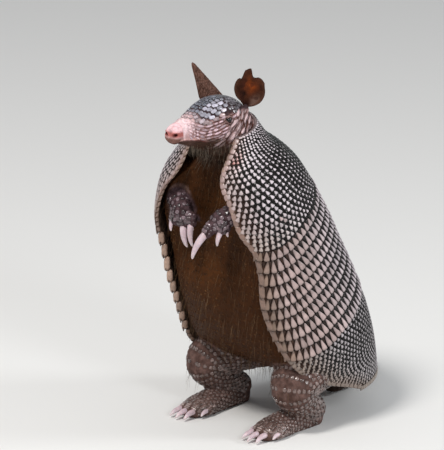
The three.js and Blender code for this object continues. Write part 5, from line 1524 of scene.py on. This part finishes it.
crown, lumps = Coat(), Coat()
border = lambda u: herm([18, 26, 34, 46, 54, 60, 66, 76, 88, 96], [15.5, 12.2, 8.2, 8.8, 11.6, 14.2, 15.6, 11.5, 9.0, 9.0], u)
for sg in (1, -1):
    us, arcs, kind = [], [], []
    row = 0
    arc = 0.9 if sg > 0 else 0.9
    arc = 1.9
    while arc < 34:
        big = smooth(6, 13, arc)
        pu = mix(5.0, 8.0, big)
        pa = mix(3.5, 3.85, big)
        uu = np.arange(16.5 + (pu * 0.5 if row % 2 else 0), 99, pu)
        uu = uu + rng.normal(0, 0.35, len(uu))
        us.append(uu)
        arcs.append(np.full(len(uu), arc) + rng.normal(0, 0.18, len(uu)))
        kind.append(np.full(len(uu), big))
        arc += pa
        row += 1
    u_, arc_, big_ = np.concatenate(us), np.concatenate(arcs), np.concatenate(kind)
    # behind the eye the scutes are small and round: put two where one would be
    back = u_ > 66
    extra_u, extra_a = u_[back] + 3.6, arc_[back] + rng.normal(0, 0.4, back.sum())
    u_, arc_, big_ = np.concatenate([u_, extra_u]), np.concatenate([arc_, extra_a]), np.concatenate([big_, big_[back]])
    ang_ = head_angle(u_, arc_, sg) * sg
    P_ = head_surface(u_, ang_)
    hu, hv, hw = head_of(P_)
    ok = hw > border(hu) + 0.2
    ok &= np.linalg.norm(P_ - EYES[sg], axis=1) > 7.6
    b0, k0, m0, q0, L0 = ear_frame(sg)
    ok &= np.linalg.norm(P_ - b0, axis=1) > 5.5
    u_, arc_, big_, ang_, P_, hu, hv, hw = (x[ok] for x in (u_, arc_, big_, ang_, P_, hu, hv, hw))
    above = hw - border(hu)
    back_ = smooth(62, 70, hu)
    front_ = smooth(34, 22, hu)
    half_u = mix(mix(2.3, 3.85, big_), 1.85, back_) * mix(1, 0.76, front_)
    half_a = mix(mix(1.62, 1.9, big_), 1.8, back_) * mix(1, 0.88, front_)
    col = mix(rgb(156, 132, 132), rgb(172, 168, 180), smooth(1.5, 5.5, above)[:, None])
    col = mix(col, rgb(86, 90, 102), smooth(9.5, 5.0, arc_)[:, None] * 0.85)
    col = mix(col, rgb(84, 78, 82), back_[:, None] * 0.85)
    col = mix(col, rgb(228, 194, 194), front_[:, None] * mix(0.75, 1.0, smooth(2.0, 7.0, arc_))[:, None])
    # each scute's brightness varies at random: partly its own tone, partly painted glints
    col = col * (0.55 + 0.85 * rng.random((len(col), 1)) ** 1.4)
    edge = mix(col * 0.25, rgb(40, 34, 38), 0.6)
    along = np.broadcast_to(-FWD, P_.shape)
    uv = np.stack([0.02 + 0.96 * (u_ / 100), 0.5 + 0.48 * ang_ / math.pi], -1)
    skin_pads(crown, P_, along, half_a, half_u, mix(0.85, 0.6, back_), col, edge, PLATE6, uv, wob=0.055, reach=3.0, rot=rng.normal(0, 0.14, len(u_)))

    # ---- face: elongated lumps in rows that sag between the muzzle and the cheekbone
    fu, fw, fl, fh = [], [], [], []
    for j in range(-5, 7):
        x = 13.0 + rng.random() * 4
        while x < 80:
            L_ = rng.uniform(3.6, 9.5) * (1 - 0.4 * (x < 26))
            mid = x + L_ / 2
            near = in_head(mid, sg * 17.0, float(SMILE(mid)) + j * ROW)
            ww = float(SMILE(mid)) + j * ROW - (float(noise(near[None], 0.12, 3)[0]) - 0.5) * 2.6 + rng.normal(0, 0.2)
            lo_w = float(MOUTH(min(mid, 40))) + 1.5 - max(0.0, mid - 38) * 0.16
            if ww > lo_w and ww < float(border(max(mid, 18))) - 0.8 and mid - 0.9 * ww < 64 and (mid > 16 or ww > 0):
                fu.append(mid)
                fw.append(ww)
                fl.append(L_)
                fh.append(rng.uniform(0.55, 1.0))
            x += L_ + rng.uniform(0.3, 1.1)
    fu, fw, fl, fh = map(np.array, (fu, fw, fl, fh))
    # from the height on the side of the head to a point on it
    P_ = in_head(fu, sg * 26.0, fw)
    hit = np.empty_like(P_)
    good = np.zeros(len(P_), bool)
    for i in range(len(P_)):
        co, n, idx, d = TREE.ray_cast(P_[i].tolist(), (-LEFT * sg).tolist())
        if co is not None:
            hit[i] = co
            good[i] = True
    D = hit - EYES[sg]
    good &= np.linalg.norm(D, axis=1) > 6.8
    fu, fw, fl, fh, hit = fu[good], fw[good], fl[good], fh[good], hit[good]
    slope = (SMILE(fu + 0.5) - SMILE(fu - 0.5))
    along = -FWD + np.stack([0 * slope, 0 * slope, slope], -1)
    # the lower lumps are painted darker brown as painted shade under the head; the pale lavender of the rest is partly
    # their own colour, partly a painted highlight tint
    low = smooth(-2, -9, fw + 0.05 * (fu - 30)) * smooth(22, 34, fu)
    col = mix(rgb(196, 168, 176), rgb(88, 62, 50), low[:, None])
    col = mix(col, rgb(222, 192, 194), smooth(38, 14, fu)[:, None] * smooth(-3, 4, fw)[:, None] * 0.8)
    col = col * (0.70 + 0.5 * rng.random((len(col), 1)))
    edge = mix(col * np.array([0.34, 0.25, 0.22]), col * np.array([0.82, 0.76, 0.75]), smooth(36, 12, fu)[:, None])
    uv = np.stack([0.02 + 0.96 * fu / 100, 0.5 + sg * (0.30 - 0.006 * fw)], -1)
    skin_pads(lumps, hit, along, 1.36 * (0.75 + 0.5 * rng.random(len(fu))), fl * 0.53, 0.8 * fh, col, edge, LUMP, uv, wob=0.12, reach=3.0)
    # lumps along the folds of the neck, in rows that lean back as they rise
    gu, gw, gl, gk = [], [], [], []
    for k in range(-1, 14):
        y = -21.0 + rng.random() * 4
        while y < 13:
            L_ = rng.uniform(8.0, 13.0) if k % 2 == 0 else rng.uniform(4.0, 7.5)
            mid = y + 0.743 * L_ / 2
            uu = 66.2 + 3.45 * k + 0.9 * mid + rng.normal(0, 0.2)
            if uu < 108:
                gu.append(uu)
                gw.append(mid)
                gl.append(L_)
                gk.append((1.0 if k % 4 == 0 else 0.75) if k % 2 == 0 else 0.1)
            y += 0.743 * L_ + rng.uniform(0.2, 1.6)
    gu, gw, gl, gk = map(np.array, (gu, gw, gl, gk))
    P_ = in_head(gu, sg * 34.0, gw)
    hit, good = np.empty_like(P_), np.zeros(len(P_), bool)
    for i in range(len(P_)):
        co, n, idx, d = TREE.ray_cast(P_[i].tolist(), (-LEFT * sg).tolist())
        if co is not None and idx < len(T):
            hit[i] = co
            good[i] = True
    gv = head_of(hit)[1]
    good &= np.abs(gv) > 9
    gu, gw, gl, gk, hit = gu[good], gw[good], gl[good], gk[good], hit[good]
    # lumps on the crests are painted pale as a painted highlight, those in the troughs and low down dark as painted
    # shade
    fade = smooth(-20, -9, gw)
    col = mix(rgb(84, 56, 46), rgb(194, 168, 170), (fade * (0.45 + 0.55 * gk))[:, None]) * (0.75 + 0.4 * rng.random((len(gu), 1)))
    along = -FWD * 0.669 + np.array([0, 0, 0.743])
    uv = np.stack([0.02 + 0.9 * gu / 110, 0.5 + sg * (0.30 - 0.006 * gw)], -1)
    skin_pads(lumps, hit, np.broadcast_to(along, hit.shape), mix(0.85, 2.0, gk) * (0.9 + 0.2 * rng.random(len(gu))), gl * 0.5, mix(0.45, 0.85, gk) * mix(0.6, 1.0, fade), col, col * np.array([0.4, 0.32, 0.3]), LUMP, uv, wob=0.14, reach=3.0)
    # a ring of small granules round the lids
    th = np.linspace(0, 2 * math.pi, 15, endpoint=False) + rng.normal(0, 0.08, 15)
    for rr, sz in ((1.62, 0.62), (2.3, 0.8)):
        ga, gb = rr * 3.4 * np.cos(th + rr), rr * 2.4 * np.sin(th + rr)
        gb = gb - 0.2 * ga
        G = EYES[sg] + np.outer(ga, -FWD) + np.outer(gb, [0, 0, 1.0]) + LEFT * sg * 3.2
        gc = rgb(150, 116, 108) * (0.6 + 0.6 * rng.random((15, 1)))
        skin_pads(lumps, G, np.stack([0 * th, 0 * th, 0 * th + 1.0], -1) * np.cos(th)[:, None] + np.outer(np.sin(th), FWD), sz * 0.8, sz * 1.15, 0.4, gc, gc * 0.35, LUMP, np.tile([[0.5, 0.5 + sg * 0.2]], (15, 1)), reach=3.5)
piece(crown.make("head_scutes", M_CROWN), "head_scutes")
piece(lumps.make("face_scales", M_FACE), "face_skin")


# ---- limbs and tail
def rows_on_limb(points, across, height, up, pitch, k0, k1, a0=-math.pi, a1=math.pi, squeeze=1.0):
    ks_ = np.arange(len(points)) / (len(points) - 1)
    up = np.asarray(up, float)
    length = np.linalg.norm(np.diff(catmull(points, np.linspace(0, 1, 60)), axis=0), axis=1).sum()
    out_P, out_t, out_k, out_a = [], [], [], []
    k, row = k0, 0
    while k < k1:
        a, b = float(herm(ks_, across, k)), float(herm(ks_, height, k))
        n = max(3, int(round((a1 - a0) * (a + b) / 2 / pitch)))
        ang = a0 + (a1 - a0) * (np.arange(n) + (0.5 if row % 2 else 0.0)) / n + rng.normal(0, 0.02, n)
        c, tan = catmull(points, np.full(n, k)), tangent(points, np.full(n, k))
        side = unit(np.cross(tan, up))
        top = np.cross(side, tan)
        out_P.append(c + side * (a * np.sin(ang))[:, None] + top * (b * np.cos(ang))[:, None])
        out_t.append(tan)
        out_k.append(np.full(n, k))
        out_a.append(ang)
        k += pitch * 0.87 * squeeze / length
        row += 1
    return np.concatenate(out_P), np.concatenate(out_t), np.concatenate(out_k), np.concatenate(out_a)


limb_scales = Coat()
for side, p in PAW.items():
    for pts, ac, he, up, pitch, k0, k1, hgt in ((FORELEG[side], [20, 17, 13.5, 11], [20, 17, 13, 9.5], LEG_UP, 4.4, 0.2, 0.97, 0.6), (PALM[side], p["pw"], [8.5, 9, 7], (0, -1, 0.2), 5.4, 0.0, 1.0, 0.95)):
        P_, t_, k_, a_ = rows_on_limb(pts, ac, he, up, pitch, k0, k1)
        front = -t_[:, 1] * 0 + (P_[:, 1] - catmull(pts, k_)[:, 1])
        keep = front < 4.0
        P_, t_, k_, a_ = P_[keep], t_[keep], k_[keep], a_[keep]
        cc = mix(rgb(52, 38, 40), rgb(122, 102, 108), rng.random((len(P_), 1)) ** 1.4)
        uv = np.stack([0.05 + 0.4 * k_ + (0.5 if side == "left" else 0.0), 0.5 + 0.48 * a_ / math.pi], -1)
        skin_pads(limb_scales, P_, t_, pitch * 0.40, pitch * 0.42, hgt, cc, cc * 0.4, HEXA, uv, wob=0.12, reach=1.6, rot=rng.normal(0, 0.15, len(P_)))
for side, r0, d, L, size in FORE_TOES:   # plates across the back of each toe
    n = 3
    x = np.array([-7.2, -3.6, 0.2])
    upv = unit(np.array([0, -1, 0.35]) - np.dot([0, -1, 0.35], d) * d)
    P_ = r0 + np.outer(x, d) + upv * (size + 1.2)
    cc = mix(rgb(62, 46, 48), rgb(128, 106, 112), rng.random((n, 1)))
    uv = np.stack([np.full(n, 0.3 + (0.5 if side == "left" else 0.0)), 0.5 + 0.01 * x], -1)
    skin_pads(limb_scales, P_, np.broadcast_to(d, P_.shape), size * 0.9, 1.75, 0.75, cc, cc * 0.4, RECT, uv, reach=2.4)
    for sd in (-1, 1):
        Ps = P_ + np.cross(d, upv) * sd * (size + 0.3) * 0.95 - upv * size * 0.75
        skin_pads(limb_scales, Ps, np.broadcast_to(d, P_.shape), 1.0, 0.9, 0.4, cc * 0.9, cc * 0.4, HEXA, uv, reach=2.4)
leg_scales = Coat()
for sg in (1, -1):
    for pts, ac, he, up, pitch, k0, k1, hgt in ((HINDLEG[sg], [26, 27, 21.5, 16, 13], [30, 30, 23, 16, 12.5], (sg, 0.25, 0.1), 5.2, 0.15, 1.0, 0.75), (HINDFOOT[sg], [12, 14, 17, 14], [14.5, 14.3, 11, 8], (0, 0, 1), 4.2, 0.05, 1.0, 0.65)):
        P_, t_, k_, a_ = rows_on_limb(pts, ac, he, up, pitch, k0, k1)
        keep = P_[:, 2] > 1.8
        P_, t_, k_, a_ = P_[keep], t_[keep], k_[keep], a_[keep]
        cc = mix(rgb(78, 60, 54), rgb(126, 104, 98), rng.random((len(P_), 1)))
        uv = np.stack([0.05 + 0.4 * k_ + (0.5 if sg > 0 else 0.0), 0.5 + 0.48 * a_ / math.pi], -1)
        skin_pads(leg_scales, P_, t_, pitch * 0.40, pitch * 0.43, hgt, cc, cc * 0.4, HEXA, uv, wob=0.12, reach=1.6, rot=rng.normal(0, 0.15, len(P_)))
for sg, r0, d, L, size in HIND_TOES:
    n = 5
    x = np.linspace(-8, 2.2, n)
    P_ = r0 + np.outer(x, d)
    P_[:, 2] = 6 + size + 0.6
    cc = mix(rgb(138, 118, 114), rgb(168, 146, 140), rng.random((n, 1)))
    uv = np.stack([np.full(n, 0.3 + (0.5 if sg > 0 else 0.0)), 0.5 + 0.01 * x], -1)
    skin_pads(leg_scales, P_, np.broadcast_to(d, P_.shape), size * 0.85, 0.98, 0.55, cc, cc * 0.4, RECT, uv, reach=2.6)
piece(limb_scales.make("forefoot_scales", M_PAW), "paw_skin")
piece(leg_scales.make("hindleg_scales", M_CROWN), "paw_skin")

tail_scales = Coat()
k_ = 0.075
tail_len = np.linalg.norm(np.diff(catmull(TAIL_POINTS, np.linspace(0, 1, 200)), axis=0), axis=1).sum()
while k_ < 0.985:
    R_ = float(herm(np.arange(7) / 6, TAIL_RADII, k_))
    ringp = mix(7.4, 4.2, k_)
    n = max(8, int(round(2 * math.pi * R_ / mix(5.4, 3.6, k_))))
    for sub, (db, ha, hb, hh, pale_) in enumerate(((0.0, 0.44, 0.30, 0.85, 1.0), (-0.42, 0.34, 0.13, 0.6, 0.55), (-0.62, 0.30, 0.10, 0.5, 0.4))):
        ang = 2 * math.pi * (np.arange(n) + 0.5 * (sub % 2)) / n
        kk = np.full(n, k_ + db * ringp / tail_len)
        P_ = tail_surface(kk, ang)
        keep = P_[:, 2] > 1.6
        t_ = tangent(TAIL_POINTS, kk)
        cc = mix(rgb(112, 100, 92), rgb(150, 138, 128), rng.random((n, 1))) * pale_
        uv = np.stack([0.02 + 0.96 * kk, 0.5 + 0.48 * (ang - math.pi) / math.pi], -1)
        skin_pads(tail_scales, P_[keep], t_[keep], ha * 2 * math.pi * R_ / n, hb * ringp, hh, cc[keep], cc[keep] * 0.35, KITE if sub == 0 else HEXA, uv[keep], reach=1.8)
    k_ += ringp / tail_len
piece(tail_scales.make("tail_scales", M_PALE), "tail_scutes")


# ------------------------------------------------------------------ claws
def claw_mesh(o, D, B, length, width, height):
    D = unit(D)
    B = unit(B)
    side = unit(np.cross(D, B))

    def f(ang, t, r):
        a = t * 0.85
        tt = 1 - (1 - t) ** 1.0
        c = o + D * (length * np.sin(a) / 0.85)[..., None] + B * (length * (1 - np.cos(a)) / 0.85)[..., None]
        tan = D * np.cos(a)[..., None] + B * np.sin(a)[..., None]
        top = np.cross(side, tan)
        k = np.where(tt > 0.93, np.sqrt(np.maximum(0.0, 1 - ((tt - 0.93) / 0.0702) ** 2)), 1.0) * (1 - 0.76 * tt ** 2.6) * r
        ridge = 1 + 0.10 * np.cos(ang) ** 2 - 0.05 * np.cos(3 * ang)
        return c + side * (width * k * np.sin(ang) * ridge)[..., None] + top * (height * k * np.cos(ang) * ridge)[..., None]

    return loft_mesh(f, 20, 26)


def claw_piece(name, items, nodes):
    co = Coat()
    for o, D, B, L, wd, ht in items:
        v_, fs = claw_mesh(o, D, B, L, wd, ht)
        x = np.linalg.norm(v_ - o, axis=1) / L
        cc = mix(rgb(150, 108, 104), rgb(202, 180, 186), smooth(0.02, 0.28, x)[:, None])
        cc = mix(cc, rgb(214, 200, 200), smooth(0.6, 1.0, x)[:, None])
        cc = cc * (0.88 + 0.2 * noise(v_ * [1, 1, 0.3], 0.9, 101)[:, None])
        co.add(v_, fs, cc, np.stack([0.5 + 0.4 * x, 0.5 + 0 * x], -1))
    piece(co.make(name, M_CLAW), "claw", *nodes)


for side in PAW:
    items = []
    for s_, r0, d, L, size in FORE_TOES:
        if s_ == side:
            upv = np.array([0, -1, 0.35])
            bend = -upv + np.dot(upv, d) * d
            bend = unit(bend)
            D = unit(d - bend * 0.34)
            items.append((r0 - d, D, bend, L * 1.06, size * 0.82, size * 0.74))
    claw_piece(f"fore_claws_{side}", items, [f"fore_claw_{side}_{i + 1}" for i in range(4)])
for sg, side in ((1, "left"), (-1, "right")):
    items = [(np.array([r0[0] + d[0], r0[1] + d[1], 6.4]), np.array([d[0], d[1], 0.2]), np.array([0, 0, -1.0]), L * 0.9, size * 0.85, size * 0.7) for s_, r0, d, L, size in HIND_TOES if s_ == sg]
    claw_piece(f"hind_claws_{side}", items, [f"hind_claw_{side}_{i + 1}" for i in range(5)])


# ------------------------------------------------------------------ sparse hair: tapered strands, three-sided
def strands(coat, P, D, L, width, col, uv, droop=(0, 0, -0.35), curl=0.12):
    m, seg = len(P), 5
    if m == 0:
        return
    D = unit(D)
    side = unit(np.cross(D, rng.normal(size=(m, 3))))
    t = np.linspace(0, 1, seg + 1)
    G = np.asarray(droop, float)[None] + side * rng.normal(0, curl, (m, 1))
    pts = P[:, None] + D[:, None] * (L[:, None] * t)[..., None] + G[:, None] * (L[:, None] * t ** 2)[..., None]
    third = np.cross(D, side)
    w_ = width[:, None] * (1 - t) ** 0.7 + 0.035
    ring_ = []
    for q in range(3):
        a = 2 * math.pi * q / 3
        ring_.append(pts + (side[:, None] * math.cos(a) + third[:, None] * math.sin(a)) * w_[..., None])
    V_ = np.stack(ring_, 2)   # m, seg+1, 3, 3
    quads = []
    for k in range(seg):
        for q in range(3):
            r = (q + 1) % 3
            quads.append([k * 3 + q, k * 3 + r, (k + 1) * 3 + r, (k + 1) * 3 + q])
    n = (seg + 1) * 3
    quads = np.array(quads)
    tris = np.array([[0, 2, 1], [n - 3, n - 2, n - 1]])
    off = (np.arange(m) * n)[:, None, None]
    vv = V_.reshape(-1, 3)
    q_, t_ = (quads[None] + off).reshape(-1, 4), (tris[None] + off).reshape(-1, 3)
    if not normals_out(vv[:n] - vv[:n].mean(0), [quads, tris]):
        q_, t_ = q_[:, ::-1], t_[:, ::-1]
    C = np.repeat(col, n, axis=0)
    U = np.repeat(uv, n, axis=0).reshape(m, seg + 1, 3, 2) + 0.0028 * np.stack([np.broadcast_to((np.arange(3) - 1)[None], (seg + 1, 3)) * 0.4, np.broadcast_to(t[:, None] - 0.5, (seg + 1, 3))], -1)[None]
    coat.add(vv, [q_, t_], C, U.reshape(-1, 2))


face_n = np.cross(SKIN_V[SKIN_T[:, 1]] - SKIN_V[SKIN_T[:, 0]], SKIN_V[SKIN_T[:, 2]] - SKIN_V[SKIN_T[:, 0]])
face_a = np.linalg.norm(face_n, axis=1) / 2
face_c = SKIN_V[SKIN_T].mean(1)
face_nn = face_n / np.maximum(face_a[:, None] * 2, 1e-9)


def scatter(weight, n):
    pr = weight * face_a
    pr = pr / pr.sum()
    idx = rng.choice(len(pr), n, p=pr)
    r1, r2 = np.sqrt(rng.random(n)), rng.random(n)
    T_ = SKIN_V[SKIN_T[idx]]
    return T_[:, 0] * (1 - r1)[:, None] + T_[:, 1] * (r1 * (1 - r2))[:, None] + T_[:, 2] * (r1 * r2)[:, None], face_nn[idx]


# belly and chest: low warts in rows across
rows_z = np.arange(52, 268, 7.6)
gx, gz = [], []
for k, z0 in enumerate(rows_z):
    x = np.arange(-78, 78, 4.7) + (2.3 if k % 2 else 0.0)
    gx.append(x + rng.normal(0, 1.3, len(x)))
    gz.append(z0 + rng.normal(0, 1.2, len(x)))
gx, gz = np.concatenate(gx), np.concatenate(gz)
hit, good = np.zeros((len(gx), 3)), np.zeros(len(gx), bool)
for i in range(len(gx)):
    co, n, idx, d = TREE.ray_cast((float(gx[i]), -320.0, float(gz[i])), (0.0, 1.0, 0.0))
    if co is not None and idx < len(T):
        hit[i] = co
        good[i] = n[1] < -0.25
hit = hit[good]
wu, wv_, ww, wz = zones(hit)
free = (wz["head"] + wz["neck"] + wz["paw"] + wz["arm"] + 0.6 * wz["leg"] + wz["tail"]) < 0.3
hit = hit[free]
warts = Coat()
wc = mix(rgb(52, 31, 18), rgb(100, 68, 42), (noise(hit, 0.05, 80) * rng.uniform(0.4, 1.2, len(hit)))[:, None])
uv = np.stack([0.5 + 0.47 * np.arctan2(hit[:, 0], -(hit[:, 1] + 60)) / math.pi, 0.03 + 0.94 * clamp(hit[:, 2] / 370, 0, 1)], -1)
skin_pads(warts, hit, np.broadcast_to([0.0, 0.0, -1.0], hit.shape), rng.uniform(0.8, 1.5, len(hit)), rng.uniform(0.8, 1.3, len(hit)), 0.5, wc, wc * 0.5, LUMP, uv, wob=0.15, reach=3.0)
piece(warts.make("belly_warts", M_SKIN), "belly_skin")
WARTS = hit

su, sv, sw, sz = zones(face_c)
sS = s_of(face_c)
front_face = smooth(0.05, 0.4, -face_nn[:, 1])
w_throat = np.maximum(sz["neck"] * smooth(0.0, 0.5, -face_nn[:, 1]), sz["head"] * smooth(0.0, -3.0, sw - MOUTH(clamp(su, 0, 40))) * smooth(12, 26, su)) * smooth(100, 92, su)
w_belly = (1 - sz["head"]) * (1 - sz["neck"]) * (1 - sz["paw"]) * (1 - sz["arm"]) * (1 - sz["tail"]) * (1 - 0.6 * sz["leg"]) * front_face * smooth(20, 35, face_c[:, 2])
tame = (np.arange(len(SKIN_T)) < len(T)) * 1.0   # none grows on the ears
w_throat, w_belly = w_throat * tame, w_belly * tame
uv_of = lambda P: np.stack([0.5 + 0.47 * np.arctan2(P[:, 0], -(P[:, 1] + 60)) / math.pi, 0.03 + 0.94 * clamp(P[:, 2] / 370, 0, 1)], -1)
hair = Coat()
n1 = 420
P_, n_ = scatter(w_throat, n1)
D = n_ * 0.55 + np.array([0, -0.12, -0.9]) + rng.normal(0, 0.16, (n1, 3))
strands(hair, P_ - n_ * 0.3, D, rng.uniform(5, 10, n1), rng.uniform(0.10, 0.17, n1), rgb(150, 132, 114) * rng.uniform(0.12, 0.85, (n1, 1)), uv_of(P_))
piece(hair.make("throat_hair", M_HAIR), "belly_skin")
hair = Coat()
n2 = 1100
P_, n_ = scatter(w_belly, n2)
D = n_ * 0.35 + np.array([0, 0, -1.0]) + np.stack([-0.25 * np.sign(P_[:, 0]) * 0 + rng.normal(0, 0.2, n2), rng.normal(0, 0.12, n2), rng.normal(0, 0.1, n2)], -1)
strands(hair, P_ - n_ * 0.3, D, rng.uniform(6, 14, n2), rng.uniform(0.09, 0.15, n2), mix(rgb(56, 34, 20), rgb(126, 98, 70), rng.random((n2, 1)) ** 2.2), uv_of(P_))
piece(hair.make("belly_hair", M_HAIR), "belly_skin")


# ------------------------------------------------------------------ stage and light
def plain_material(name, colour, rough):
    m = bpy.data.materials.new(name)
    m.use_nodes = True
    b = m.node_tree.nodes["Principled BSDF"]
    b.inputs["Base Color"].default_value = (*colour, 1)
    b.inputs["Roughness"].default_value = rough
    return m


me = bpy.data.meshes.new("floor")
n = 64
verts = [(0, 0, 0)] + [(30 * math.cos(2 * math.pi * i / n), 30 * math.sin(2 * math.pi * i / n), 0) for i in range(n)]
me.from_pydata(verts, [], [(0, 1 + i, 1 + (i + 1) % n) for i in range(n)])
me.polygons.foreach_set("use_smooth", [True] * len(me.polygons))
me.materials.append(plain_material("floor", (0.80, 0.79, 0.77), 0.75))
floor = bpy.data.objects.new("floor", me)
bpy.context.scene.collection.objects.link(floor)

world = bpy.data.worlds.new("world")
bpy.context.scene.world = world
world.use_nodes = True
world.node_tree.nodes["Background"].inputs["Color"].default_value = (0.93, 0.96, 1.0, 1)
world.node_tree.nodes["Background"].inputs["Strength"].default_value = 0.40


def area(name, at_, look, size, power, colour=(1, 1, 1)):
    d = bpy.data.lights.new(name, "AREA")
    d.shape = "DISK"
    d.size = size
    d.energy = power
    d.color = colour
    o = bpy.data.objects.new(name, d)
    o.location = at_
    o.rotation_euler = (Vector(look) - Vector(at_)).to_track_quat("-Z", "Y").to_euler()
    bpy.context.scene.collection.objects.link(o)


area("key", (0.3, -1.5, 2.3), (0, 0, 0.2), 0.6, 46, (1.0, 0.98, 0.95))
area("fill", (2.2, -0.6, 1.2), (0, 0, 0.2), 0.6, 14, (0.92, 0.96, 1.0))
area("rim", (1.9, 1.6, 1.25), (0, 0, 0.2), 0.7, 24, (0.95, 0.98, 1.0))
area("left", (-2.0, -0.6, 1.3), (0, 0, 0.2), 1.4, 5, (1.0, 0.98, 0.96))

bpy.context.scene.view_settings.view_transform = "Standard"
